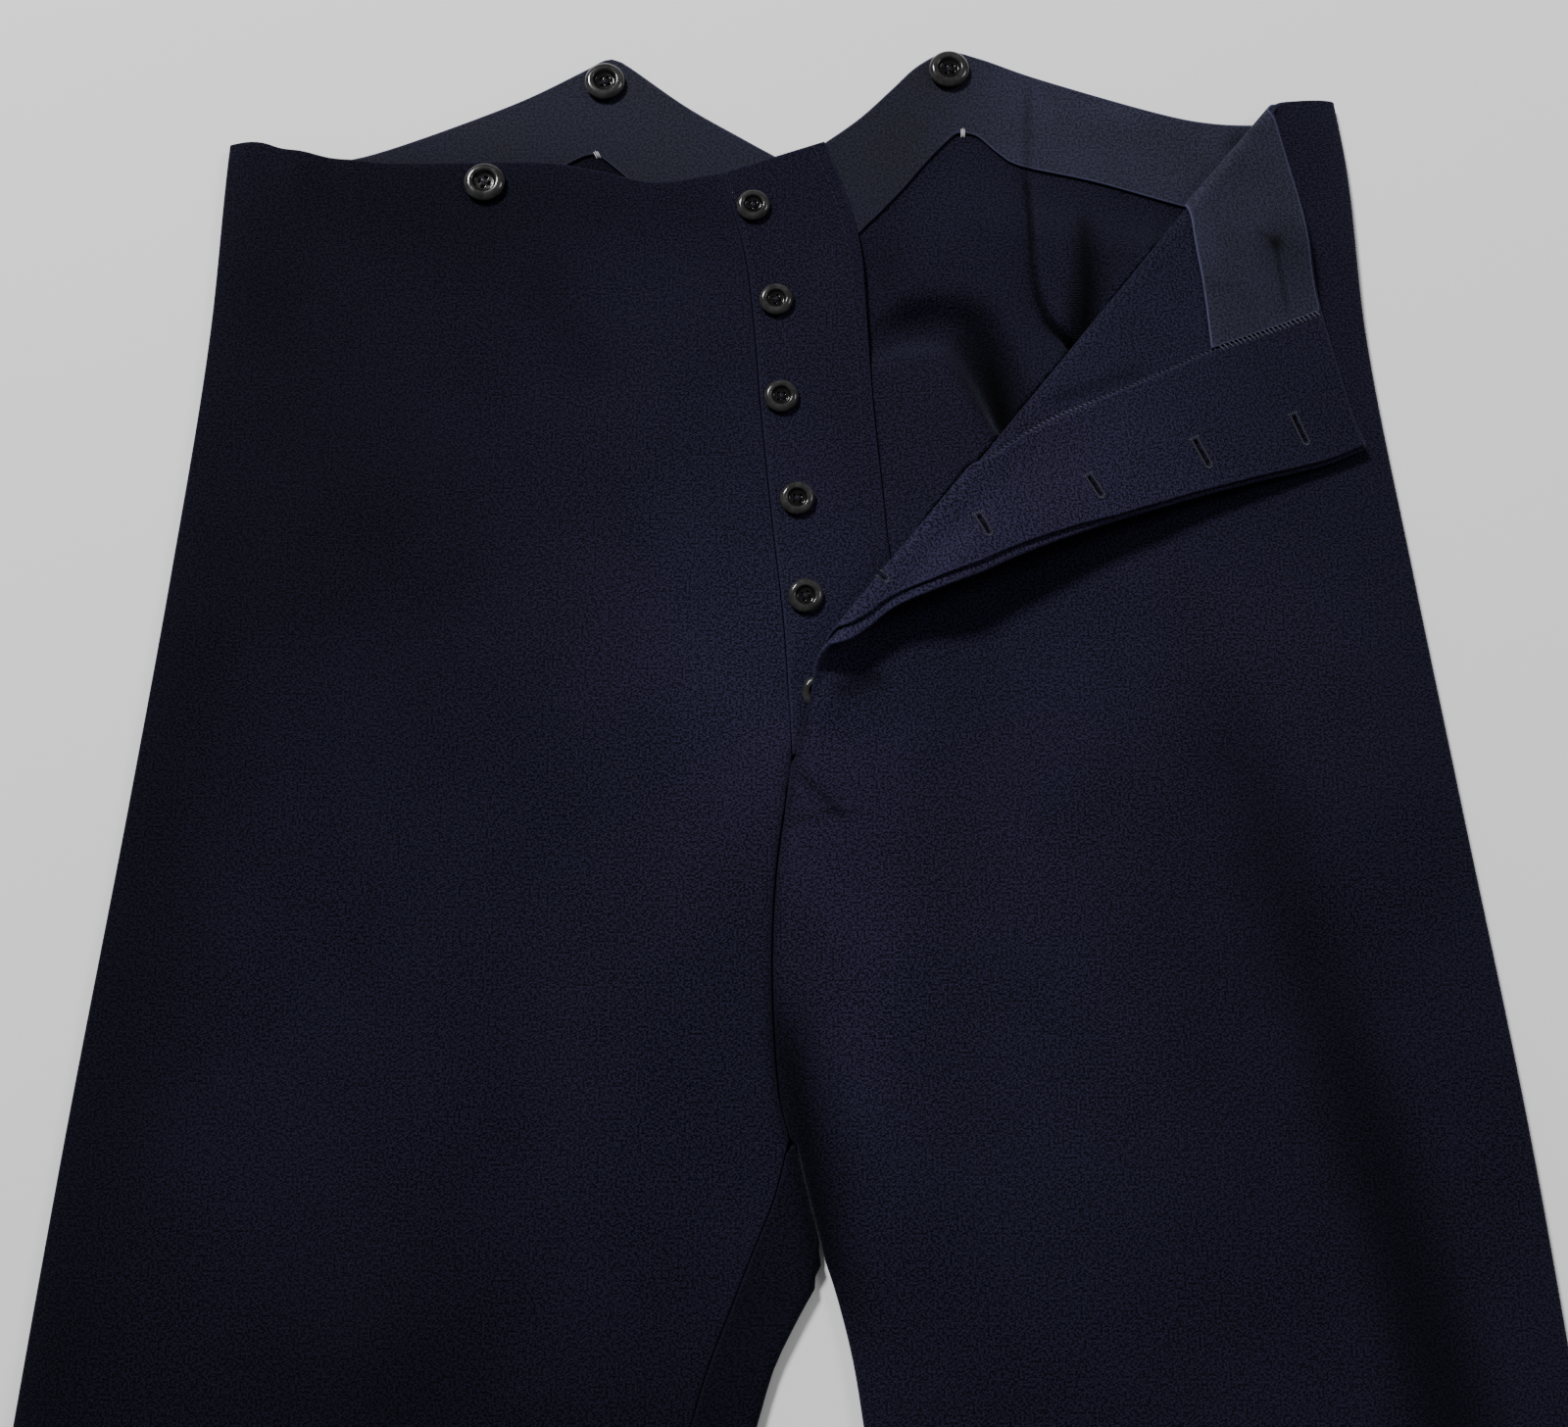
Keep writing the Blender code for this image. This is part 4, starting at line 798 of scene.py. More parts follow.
def waist_press(x, y):
    """1 at the waist edge and exp(-(distance/reach)^2) below it, less over the hidden brace button."""
    from_waist = np.maximum(graph(run(LEFT_WAIST), x) - y, 0)
    from_button = np.hypot(x - LEFT_FRONT_BRACE[0], y - LEFT_FRONT_BRACE[1])
    over_button = WAIST_PRESS_BUTTON * np.exp(-((from_button / WAIST_PRESS_ROUND_BUTTON) ** 2))
    return np.exp(-((from_waist / WAIST_PRESS_REACH) ** 2)) * (1 - over_button)


def roll_profile(s):
    """The roll over the fold line at lengths s along the cloth: how far out and up it is, and its thickness
    direction. Its lower half is a quarter circle; its upper half the superellipse |x|^n + |z|^n = 1, which
    keeps it level up to a tight shoulder."""
    angle = np.linspace(0, math.pi, 721)
    power = 2 / np.where(angle > math.pi / 2, SHOULDER, 2.0)
    x = ROLL * np.sin(angle) ** power
    z = ROLL * (1 - np.sign(np.cos(angle)) * np.abs(np.cos(angle)) ** power)
    x[-1], z[-1] = 0, 2 * ROLL
    length = lengths_along(np.stack([x, z], -1))
    length = length * math.pi * ROLL / length[-1]
    slope_x, slope_z = np.gradient(x, length), np.gradient(z, length)
    size = np.hypot(slope_x, slope_z)
    values = (x, z, -slope_z / size, slope_x / size)
    return [np.interp(s, length, value) for value in values]


def lay_left_front(flat):
    """The left front: flat up to the fold line, then rolled over it by the roll's profile and laid back,
    where it sinks, stands up along its free edge and is pressed near the waist."""
    start, direction, across = fold_frame()
    a = (flat - start) @ direction
    s = (flat - start) @ across
    foot = start + a[..., None] * direction
    back = np.maximum(s - math.pi * ROLL, 0)
    out, rise, outward, upward = roll_profile(s)
    folded = foot + (out - back)[..., None] * across
    turned = (s > 0)[..., None]
    lower = np.where(turned, foot, flat)
    from_corner = np.linalg.norm(folded - CORNER_AT, axis=-1)
    sink = FLAP_DROP + CORNER_DROP * np.exp(-((from_corner / CORNER_REACH) ** 2))
    from_edge = np.maximum(flat[..., 0] - fly_edge_x(flat[..., 1]), 0)
    lift = EDGE_LIFT * np.exp(-(((flat[..., 1] - EDGE_LIFT_AT) / EDGE_LIFT_LENGTH) ** 2))
    lift = lift * (1 - smooth_step(0, EDGE_LIFT_REACH, from_edge)) * smooth_step(0, 12, back)
    above = rise - sink * smooth_step(*FLAP_DROP_REACH, back) + lift + flap_details(flat, back)
    pressed = waist_press(flat[..., 0], flat[..., 1])
    above = above + (rise * WAIST_PRESS / (2 * ROLL) - above) * pressed
    z = left_front_height(lower[..., 0], lower[..., 1]) + above
    plan = np.where(turned, folded, flat)
    direction = np.concatenate([outward[..., None] * across, upward[..., None]], -1)
    return spatial(plan[..., 0], plan[..., 1], z), direction


def lay_right_back(flat):
    """The right back: flat, then rolled in a half circle round the leg's inner edge to the inseam on top."""
    y = flat[..., 1]
    fold_x = table_x(INNERS, 2, y) - CLOTH / 2
    x = flat[..., 0] - fold_x
    angle = np.clip((x + WRAP) / WRAP, 0, math.pi)
    back = np.maximum(x + WRAP - math.pi * WRAP, 0)
    plan = np.where(x > -WRAP, fold_x - WRAP + WRAP * np.sin(angle) - back, fold_x + x)
    z = CLOTH / 2 + WRAP * (1 - np.cos(angle))
    return spatial(plan, y, z), spatial(-np.sin(angle), np.zeros_like(y), np.cos(angle))


def past_roll(points):
    """How far each point is past the roll, counted from the middle of its cloth where the roll is bare and
    from as much further out as the fly facing is thick where that goes round the roll."""
    start, direction, across = fold_frame()
    extra = (FLY_CLOTH + GAP) * (1 - smooth_step(*FACING_ON_ROLL, (points - start) @ direction))
    return (points - start) @ across - ROLL - extra


def open_fly_swell(points):
    """Height of the left back in the open fly: highest against the roll, falling off exponentially away from
    it, level under the pieces over it, and cut by two round hollows, 1 - depth exp(-(distance/half
    width)^3), and by the dart's sharp one, 1 - depth exp(-distance/reach), wide on one side and steep on
    the other."""
    from_roll = past_roll(points)
    x, y = points[..., 0], points[..., 1]
    low, stand = runs(LEFT_FACING_LOW), run(STAND_FREE_EDGE)
    height = SWELL_FAR + (1 - SWELL_FAR) * np.exp(-np.maximum(from_roll - 1, 0) / SWELL_FADE)
    height = height * smooth_step(SWELL_EDGE - 1, SWELL_EDGE, from_roll)
    from_stand = x - np.interp(y, stand[::-1, 1], stand[::-1, 0])
    beside_stand = smooth_step(*SWELL_AT_STAND, from_stand)
    away_from_stand = smooth_step(*SWELL_FROM_STAND, from_stand)
    share = SWELL_AT_STAND_SHARE * (1 - smooth_step(*SWELL_AT_STAND_UP_TO, y))
    height = height * (away_from_stand + (beside_stand - away_from_stand) * share)
    from_facing = distance_to_path(points, low[::6])
    height = height * smooth_step(*SWELL_FROM_FACING, from_facing) * (y < graph(low, x))
    for hollow in (BROAD_HOLLOW, NARROW_HOLLOW):
        away, facts, _ = nearest_on(points, hollow)
        height = height * (1 - facts[..., 1] * np.exp(-((away / facts[..., 0]) ** HOLLOW_POWER)))
    away, facts, side = nearest_on(points, DART_HOLLOW)
    reach = np.where(side < 0, facts[..., 0], DART_STEP)
    return SWELL_HEIGHT * height * (1 - facts[..., 1] * np.exp(-away / reach))


def within(values, span):
    """Where values are between the two of a span."""
    return (values > span[0]) & (values < span[1])


def to_swell_edge(flat, pitch=1.25):
    """A grid's points, those within half a pitch of the lines where the swell ends moved onto them: across
    the roll, and along x beside the stand."""
    across = fold_frame()[2]
    gap = past_roll(flat) - SWELL_EDGE
    near = (np.abs(gap) < pitch / 2) & within(flat[..., 1], SWELL_EDGE_Y)
    flat = flat - (gap * near)[..., None] * across
    stand = run(STAND_FREE_EDGE)
    gap = flat[..., 0] - np.interp(flat[..., 1], stand[::-1, 1], stand[::-1, 0]) - SWELL_AT_STAND[1]
    near = (np.abs(gap) < STAND_EDGE_NEAR) & within(flat[..., 1], STAND_EDGE_Y)
    return flat - (gap * near)[..., None] * (1.0, 0.0)


def lay_left_back(flat):
    """The left back: flat on the table but for its swell in the open fly."""
    return spatial(flat[..., 0], flat[..., 1], CLOTH / 2 + open_fly_swell(flat)), upright(flat)


def dart_height(points, path):
    """A low rounded tuck beside the dart's seam, steep on the seam's side and sloping on the other."""
    line = run(path)
    near = distance_to_path(points, line[::4])
    seam_x = np.interp(points[..., 1], line[::-1, 1], line[::-1, 0])
    side = (points[..., 0] - seam_x) * np.sign(line[0, 0])
    ends = smooth_step(line[-1, 1] - 2, line[-1, 1] + 12, points[..., 1])
    ends = ends * (1 - smooth_step(line[0, 1] - 1, line[0, 1] + 1, points[..., 1]))
    slope = np.where(side < 0, smooth_step(-3, 0, side), 1 - smooth_step(2, DART_WIDTH, side))
    return DART_HEIGHT * ends * slope * (near < 2 * DART_WIDTH)


def lay_stand(flat):
    """The button stand: level on the back facing, its free edge barely waved by a sine."""
    x, y = flat[..., 0], flat[..., 1]
    wave = 0.25 * (1 + np.sin(y / 14)) * smooth_step(20, 38, x)
    return spatial(x, y, ON_BACK_FACING + CLOTH / 2 + wave), upright(flat)


def lay_back_facing(flat):
    """A back's waist facing: level on the cloth."""
    x, y = flat[..., 0], flat[..., 1]
    return spatial(x, y, np.full_like(x, ON_BACK + TWILL / 2)), upright(flat)


# Grids and meshes


def lines(*stretches):
    """Shares of a border where grid lines stand: each stretch is a length and a pitch, in millimetres, and
    both ends have the close lines of a rounded rim."""
    marks, at = [], 0.0
    for length, pitch in stretches:
        marks.append(at + np.linspace(0, length, max(2, round(length / pitch) + 1)))
        at += length
    inner = np.unique(np.round(np.concatenate(marks), 4))
    last = RIM_LINES[-1]
    inner = inner[(inner > last + 0.8) & (inner < at - last - 0.8)]
    rim = np.array((0.0, *RIM_LINES))
    return np.concatenate([rim, inner, at - rim[::-1]]) / at


def patch(u, w, left, right, top, bottom):
    """A Coons patch: the sum of the surface ruled from left to right and the one ruled from top to bottom,
    less the one through the four corners. left and right have a point for each w, top and bottom for each
    u."""
    across, down = u[None, :, None], w[:, None, None]
    sides = (1 - across) * left[:, None] + across * right[:, None]
    ends = (1 - down) * top[None] + down * bottom[None]
    corners = (1 - across) * (1 - down) * top[0] + across * (1 - down) * top[-1]
    corners = corners + (1 - across) * down * bottom[0] + across * down * bottom[-1]
    return sides + ends - corners


def straight(start, end, share):
    """Points at shares of the straight way from start to end."""
    return np.asarray(start, float) + np.asarray(share)[:, None] * (np.asarray(end, float) - start)


def from_borders(flat):
    """Distance of each grid point from the side borders and from the end borders, along the grid."""
    du = np.linalg.norm(np.diff(flat, axis=1), axis=2)
    dw = np.linalg.norm(np.diff(flat, axis=0), axis=2)
    u = np.concatenate([np.zeros((len(flat), 1)), np.cumsum(du, 1)], 1)
    w = np.concatenate([np.zeros((1, flat.shape[1])), np.cumsum(dw, 0)], 0)
    return np.minimum(u, u[:, -1:] - u), np.minimum(w, w[-1:] - w)


def round_rim(distance, radius):
    """Height of a quarter circle over its foot: 0 at the rim, 1 from the radius inwards."""
    return np.sqrt(np.clip(1 - (1 - np.clip(distance / radius, 0, 1)) ** 2, 0, 1))


def quads(index):
    """The four corners of each cell of a grid of point numbers, turned so that they face up."""
    return np.stack([index[:-1, :-1], index[1:, :-1], index[1:, 1:], index[:-1, 1:]], -1).reshape(-1, 4)


def mesh_piece(name, points, faces, material, uv=None, **attributes):
    """A mesh object from points in the table frame and faces as arrays of point numbers, with a pattern
    place and other values for each point."""
    faces = [np.asarray(group) for group in (faces if isinstance(faces, list) else [faces])]
    corners = np.concatenate([group.ravel() for group in faces])
    sizes = np.concatenate([np.full(len(group), group.shape[1]) for group in faces])
    used, corners = np.unique(corners, return_inverse=True)
    corners = corners.ravel()
    mesh = bpy.data.meshes.new(name)
    mesh.vertices.add(len(used))
    mesh.vertices.foreach_set("co", ((points[used] + SHIFT) * MM).astype(np.float32).ravel())
    mesh.loops.add(len(corners))
    mesh.loops.foreach_set("vertex_index", corners.astype(np.int32))
    mesh.polygons.add(len(sizes))
    starts = np.concatenate([[0], np.cumsum(sizes)[:-1]])
    mesh.polygons.foreach_set("loop_start", starts.astype(np.int32))
    mesh.polygons.foreach_set("use_smooth", np.ones(len(sizes), bool))
    mesh.update(calc_edges=True)
    if uv is not None:
        layer = mesh.uv_layers.new(name="pattern")
        layer.data.foreach_set("uv", (uv[used][corners] * MM).astype(np.float32).ravel())
    for key, values in attributes.items():
        held = mesh.attributes.new(key, "FLOAT", "POINT")
        held.data.foreach_set("value", values[used].astype(np.float32))
    mesh.materials.append(material)
    piece = bpy.data.objects.new(name, mesh)
    bpy.context.scene.collection.objects.link(piece)
    return piece


def flat_size(flat):
    """Width and length of a flat pattern, and its area as the sum of its cells, in metres."""
    size = (flat.reshape(-1, 2).max(0) - flat.reshape(-1, 2).min(0)) * MM
    across = flat[:-1, 1:] - flat[1:, :-1]
    down = flat[1:, 1:] - flat[:-1, :-1]
    cells = across[..., 0] * down[..., 1] - across[..., 1] * down[..., 0]
    return size, float(np.abs(cells.sum()) / 2 * MM * MM)


def cloth_piece(
    node, flat, lay, look, thickness=CLOTH, offset=0.0, over=0.0, into=0.0, shade=1.0
):
    """A closed cloth panel in its node's place: the pattern's grid laid in space, its two faces half a
    thickness to either side along the thickness direction, drawn together along the rim in a rounded edge.
    offset moves the whole along the thickness direction, over moves the upper face outwards and into the
    lower one; shade scales its colour. look is its finish."""
    middle, direction = lay(flat)
    beside, ahead = from_borders(flat)
    rim = round_rim(beside, thickness / 2) * round_rim(ahead, thickness / 2)
    rim[[0, -1]] = 0
    rim[:, [0, -1]] = 0
    high = offset + (thickness / 2 + over) * rim
    low = offset - (thickness / 2 + into) * rim
    upper = middle + direction * high[..., None]
    lower = middle + direction * low[..., None]
    count = flat.shape[0] * flat.shape[1]
    index = np.arange(count).reshape(flat.shape[:2])
    below = np.where(rim == 0, index, index + count)
    faces = np.concatenate([quads(index), quads(below)[:, ::-1]])
    points = np.concatenate([upper.reshape(-1, 3), lower.reshape(-1, 3)])
    pattern = np.concatenate([flat.reshape(-1, 2)] * 2)
    edge = np.concatenate([np.minimum(beside, ahead).ravel()] * 2)
    # Painted light and shade: the piece's own shade times the bands and spots of soft_shade
    shade = np.concatenate([(soft_shade(middle[..., 0], middle[..., 1]) * shade).ravel()] * 2)
    piece = mesh_piece(f"{node}_cloth", points, faces, finish(look), pattern, edge=edge, shade=shade)
    size, area = flat_size(flat)
    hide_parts(node)
    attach(piece, "root")
    tuple(size)


def tubes(start, end, up, radius, rise, sides=6, rings=5):
    """Short threads, each a tube along start + (end - start)t + up rise sin(pi t), closed to a point at both
    ends. start, end and up have a row for each thread."""
    t = np.linspace(0, 1, rings + 2)
    arch = (up * rise)[:, None] * np.sin(math.pi * t)[:, None]
    line = start[:, None] + (end - start)[:, None] * t[:, None] + arch
    ahead = unit(np.gradient(line, axis=1))
    beside = unit(np.cross(ahead, up[:, None]))
    above = np.cross(beside, ahead)
    girth = radius * np.sin(np.clip(t, 0.06, 0.94) * math.pi) ** 0.4
    turn = np.arange(sides) * 2 * math.pi / sides
    ring = beside[:, :, None] * np.cos(turn)[:, None] + above[:, :, None] * np.sin(turn)[:, None]
    body = line[:, 1:-1, None] + ring[:, 1:-1] * girth[1:-1, None, None]
    count = len(start)
    each = rings * sides + 2
    points = np.concatenate([line[:, :1], body.reshape(count, -1, 3), line[:, -1:]], 1)
    k = np.arange(sides)
    m = (k + 1) % sides
    row = 1 + np.arange(rings - 1)[:, None] * sides
    wall = np.stack([row + k, row + m, row + m + sides, row + k + sides], -1).reshape(-1, 4)
    last = 1 + (rings - 1) * sides
    start_tip = np.stack([np.zeros(sides, int), 1 + m, 1 + k], -1)
    end_tip = np.stack([np.full(sides, each - 1), last + k, last + m], -1)
    tips = np.concatenate([start_tip, end_tip])
    base = (np.arange(count) * each)[:, None, None]
    return points.reshape(-1, 3), (wall + base).reshape(-1, 4), (tips + base).reshape(-1, 3)


def thread_piece(name, groups, material):
    """One piece from several groups of threads."""
    points, walls, tips, at = [], [], [], 0
    for group_points, group_walls, group_tips in groups:
        points.append(group_points)
        walls.append(group_walls + at)
        tips.append(group_tips + at)
        at += len(group_points)
    piece = mesh_piece(name, np.concatenate(points), [np.concatenate(walls), np.concatenate(tips)], material)
    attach(piece, "root")


def on_face(lay, flat, offset):
    """Points of a laid cloth's face at an offset along its thickness direction, and the unit normals there
    on that side, from points a millimetre to either side."""
    def at(points):
        """The face's points and thickness directions: the middle and an offset from it."""
        middle, direction = lay(points)
        return middle + direction * offset, direction

    spot, direction = at(flat)
    du = at(flat + (1.0, 0.0))[0] - at(flat - (1.0, 0.0))[0]
    dv = at(flat + (0.0, 1.0))[0] - at(flat - (0.0, 1.0))[0]
    normal = unit(np.cross(du, dv))
    sign = np.sign((normal * direction).sum(-1, keepdims=True)) * (1 if offset >= 0 else -1)
    return spot, normal * sign


def inward(path, by):
    """A path moved sideways by a distance, to the left of its direction."""
    ahead = unit(np.gradient(path, axis=0))
    return path + np.stack([-ahead[:, 1], ahead[:, 0]], -1) * by


def stitches(path, pitch, length, lay, offset, radius, rise=0.12):
    """Running stitches along a path of the flat pattern: one every pitch, each of a length, on one face."""
    total = lengths_along(path)[-1]
    count = int(total / pitch)
    begin = (np.arange(count) + 0.3) * pitch / total
    a, n = on_face(lay, along(path, begin), offset)
    b, _ = on_face(lay, along(path, np.minimum(begin + length / total, 1)), offset)
    return tubes(a + n * 0.02, b + n * 0.02, n, radius, rise)


# Finishes


def scaled(colour, by):
    """A colour with each part times a number."""
    return tuple(part * by for part in colour)


def opaque(colour):
    """A colour given as three numbers with an alpha of 1 added; a node's output stays as it is."""
    return (*colour, 1) if isinstance(colour, tuple) else colour


class Finish:
    """A new material and the nodes that lead into its shader. A value given to a socket is linked where it
    is another node's output, and set where it is a number or a colour."""

    def __init__(self, name):
        """An empty material of that name, with its shader."""
        self.made = bpy.data.materials.new(name)
        self.made.use_nodes = True
        self.tree = self.made.node_tree

    def put(self, socket, value):
        """Gives a socket a value or a link."""
        if hasattr(value, "links"):
            self.tree.links.new(value, socket)
        else:
            socket.default_value = value

    def node(self, kind, inputs, **settings):
        """A node of a kind with its settings and its inputs."""
        node = self.tree.nodes.new(kind)
        for key, value in settings.items():
            setattr(node, key, value)
        for key, value in inputs.items():
            self.put(node.inputs[key], value)
        return node

    def pattern(self):
        """The place on the flat cloth, in metres."""
        return self.node("ShaderNodeUVMap", {}, uv_map="pattern").outputs[0]

    def place(self):
        """The place in the object, in metres."""
        return self.node("ShaderNodeTexCoord", {}).outputs["Object"]

    def attribute(self, name):
        """A number that the mesh holds for each point."""
        return self.node("ShaderNodeAttribute", {}, attribute_name=name).outputs["Fac"]

    def calculate(self, operation, first, second):
        """One sum or product of two values."""
        return self.node("ShaderNodeMath", {0: first, 1: second}, operation=operation).outputs[0]

    def total(self, *terms):
        """The sum of the terms, each a value or a pair of a value and what it is multiplied by."""
        terms = [self.calculate("MULTIPLY", *term) if isinstance(term, tuple) else term for term in terms]
        result = terms[0]
        for term in terms[1:]:
            result = self.calculate("ADD", result, term)
        return result

    def noise(self, vector, scale, detail, roughness):
        """Cloudy noise from 0 to 1, about scale clouds to a metre."""
        inputs = {"Vector": vector, "Scale": scale, "Detail": detail, "Roughness": roughness}
        return self.node("ShaderNodeTexNoise", inputs).outputs["Fac"]

    def mix(self, share, first, second):
        """first + (second - first) share, also where the share is more than 1."""
        inputs = {0: share, 6: opaque(first), 7: opaque(second)}
        return self.node("ShaderNodeMix", inputs, data_type="RGBA", clamp_factor=False).outputs[2]

    def between(self, colour, low, high, share):
        """A colour times low where the share is 0 and times high where it is 1."""
        return self.mix(share, scaled(colour, low), scaled(colour, high))

    def times(self, first, second):
        """One colour times another."""
        return self.node("ShaderNodeVectorMath", {0: first, 1: second}, operation="MULTIPLY").outputs[0]

    def shaded(self, base):
        """The colour times the mesh's shade attribute, which holds painted light and shade and one small
        smudge.
        """
        return self.mix(self.attribute("shade"), (0.0, 0.0, 0.0), base)

    def ramp(self, value, low, high, to_low=0.0, to_high=1.0):
        """to_low up to a low value, to_high from a high one on, and a smooth step between them."""
        inputs = {"Value": value, "From Min": low, "From Max": high, "To Min": to_low, "To Max": to_high}
        return self.node("ShaderNodeMapRange", inputs, interpolation_type="SMOOTHSTEP").outputs[0]

    def bump(self, height, distance, strength):
        """Normals of a surface raised by height times distance."""
        inputs = {"Height": height, "Distance": distance, "Strength": strength}
        return self.node("ShaderNodeBump", inputs).outputs["Normal"]

    def weave(self, vector, pitch, degrees, wander):
        """Slanting bands, one every pitch metres, a little wandering."""
        turned = self.node("ShaderNodeMapping", {"Vector": vector, "Rotation": (0, 0, math.radians(degrees))})
        inputs = {"Vector": turned.outputs[0], "Scale": BAND_AT_SCALE_1 / pitch, "Distortion": wander}
        inputs.update({"Detail": 2.0, "Detail Scale": 2.0})
        return self.node("ShaderNodeTexWave", inputs).outputs["Fac"]

    def shader(self, inputs):
        """Puts the inputs into the material's shader and gives the material."""
        for key, value in inputs.items():
            self.put(self.tree.nodes["Principled BSDF"].inputs[key], value)
        return self.made


def wool_material(colours):
    """Navy wool: fine twill under a felted nap, faint mottling in tone and in hue, worn edges and a few pale
    flecks of lint."""
    wool = Finish("navy_wool_cloth")
    pattern = wool.pattern()
    nap = wool.noise(pattern, *WOOL_NAP)
    fuzz = wool.noise(pattern, *WOOL_FUZZ)
    patches = wool.noise(pattern, *WOOL_PATCHES)
    twill = wool.weave(pattern, *WOOL_TWILL)
    mottle = wool.ramp(patches, 0.3, 0.7, 0.0, 0.12)
    tone = wool.total(wool.ramp(nap, 0.40, 0.60, 0.0, 0.85), mottle, (twill, 0.1))
    base = wool.between(colours.wool, 0.12, 1.92, tone)
    worn = wool.ramp(wool.attribute("edge"), 0.2, 1.6, 0.35, 0.0)
    base = wool.mix(worn, base, scaled(colours.wool, 2.2))
    hue = wool.ramp(wool.noise(pattern, *WOOL_HUE), 0.42, 0.62)
    base = wool.times(base, wool.mix(hue, TINT_BLUE, TINT_PURPLE))
    flecks = wool.node("ShaderNodeTexVoronoi", {"Vector": pattern, "Scale": LINT_SCALE}).outputs["Distance"]
    base = wool.mix(wool.ramp(flecks, *LINT_SIZE, 0.9, 0.0), base, LINT_COLOUR)
    relief = wool.total((twill, 0.25), fuzz, (nap, 1.1))
    return wool.shader({
        "Base Color": wool.shaded(base),
        "Roughness": wool.ramp(fuzz, 0.3, 0.7, 0.86, 1.0),
        "Normal": wool.bump(relief, 0.0004, 0.9),
        "Specular IOR Level": 0.06,
        "Sheen Weight": 0.05,
        "Sheen Roughness": 0.5,
        "Sheen Tint": (0.55, 0.62, 0.9, 1),
    })


def facing_material(colours):
    """Facing twill: a closer, smoother weave with slubs, and a pale line where its edge is turned."""
    twill = Finish("facing_twill_cloth")
    pattern = twill.pattern()
    weft = twill.weave(pattern, *FACING_TWILL)
    stretched = twill.node("ShaderNodeMapping", {"Vector": pattern, "Scale": SLUB_STRETCH}).outputs[0]
    slub = twill.noise(stretched, *FACING_SLUB)
    patches = twill.noise(pattern, *FACING_PATCHES)
    grain = twill.ramp(twill.noise(pattern, *FACING_GRAIN), 0.36, 0.64, 0.0, 0.8)
    tone = twill.total((slub, 0.2), (weft, 0.1), twill.ramp(patches, 0.3, 0.7, 0.0, 0.3), grain)
    base = twill.between(colours.facing, 0.15, 1.37, tone)
    pale = twill.ramp(twill.attribute("edge"), 0.2, 0.9, 0.9, 0.0)
    base = twill.mix(pale, base, scaled(colours.facing, 3.4))
    return twill.shader({
        "Base Color": twill.shaded(base),
        "Roughness": twill.ramp(patches, 0.3, 0.7, 0.62, 0.8),
        "Normal": twill.bump(twill.total(weft, slub), 0.00012, 0.7),
        "Specular IOR Level": 0.08,
        "Sheen Weight": 0.05,
        "Sheen Roughness": 0.4,
        "Sheen Tint": (0.6, 0.65, 0.85, 1),
    })


def button_material(colours):
    """Black button stock: glossy, faintly streaked, with handling haze and fine scratches."""
    stock = Finish("button_black_gloss")
    place = stock.place()
    streak = stock.noise(place, *BUTTON_STREAK)
    scratch = stock.noise(place, *BUTTON_SCRATCH)
    return stock.shader({
        "Base Color": stock.shaded(stock.between(colours.button, 0.7, 1.5, stock.ramp(streak, 0.35, 0.7))),
        "Roughness": stock.ramp(streak, 0.3, 0.75, 0.10, 0.20),
        "Normal": stock.bump(scratch, 0.00003, 0.08),
        "Specular IOR Level": 0.28,
        "Coat Weight": 0.14,
        "Coat Roughness": 0.08,
    })


def thread_material(name, colour):
    """Sewing thread: a matt twisted strand, its turns as fine slanting bands."""
    thread = Finish(name)
    twist = thread.weave(thread.place(), *THREAD_TWIST)
    return thread.shader({
        "Base Color": thread.between(colour, 0.7, 1.3, twist),
        "Roughness": 0.75,
        "Normal": thread.bump(twist, 0.00005, 0.6),
        "Specular IOR Level": 0.3,
    })


def floor_material(colours):
    """A plain pale tabletop with the faintest unevenness."""
    floor = Finish("plain_pale_floor")
    cloud = floor.noise(floor.place(), *FLOOR_CLOUD)
    base = floor.between(colours.floor, 0.985, 1.0, cloud)
    return floor.shader({"Base Color": base, "Roughness": 0.9, "Specular IOR Level": 0.2})


def finish(name):
    """The material of that name, made once."""
    made = {
        "wool": ("navy_wool_cloth", wool_material),
        "facing": ("facing_twill_cloth", facing_material),
        "button": ("button_black_gloss", button_material),
        "thread": ("navy_thread", lambda c: thread_material("navy_thread", c.thread)),
        "worn": ("faded_thread", lambda c: thread_material("faded_thread", c.worn_thread)),
        "dim": ("dim_thread", lambda c: thread_material("dim_thread", c.dim_thread)),
        "tack": ("pale_thread", lambda c: thread_material("pale_thread", c.tack)),
        "floor": ("plain_pale_floor", floor_material),
    }[name]
    return bpy.data.materials.get(made[0]) or made[1](bpy.context.scene.trousers_colours)


# Patterns of the panels, each a grid of points of the flat cloth


def down_to(top, low, share):
    """Heights at shares of the way from a top down to a low one: top + (low - top) share."""
    return top + (low - top) * share


def side_seam(column, y):
    """Points of a leg's outer side seam at heights y."""
    return np.stack([table_x(SIDES, column, y), y], -1)


def front_pattern(sizes, waist, inner, inner_top, sides_column, outer_first):
    """A front's grid: waist run above, hem line below, side seam and inner edge at the sides."""
    fine, wide = sizes.cloth_pitch / MM, sizes.leg_pitch / MM
    u = lines((FRONT_WIDTH, fine))
    w = lines((FRONT_UPPER, fine), (FRONT_LEG, wide))
    outer_top = waist[0, 1] if outer_first else waist[-1, 1]
    outer = side_seam(sides_column, down_to(outer_top, HEM_OUTER_Y, w))
    inner_y = down_to(inner_top, HEM_INNER_Y, w)
    inside = np.stack([inner(inner_y), inner_y], -1)
    left, right = (outer, inside) if outer_first else (inside, outer)
    return patch(u, w, left, right, along(waist, u), straight(left[-1], right[-1], u))


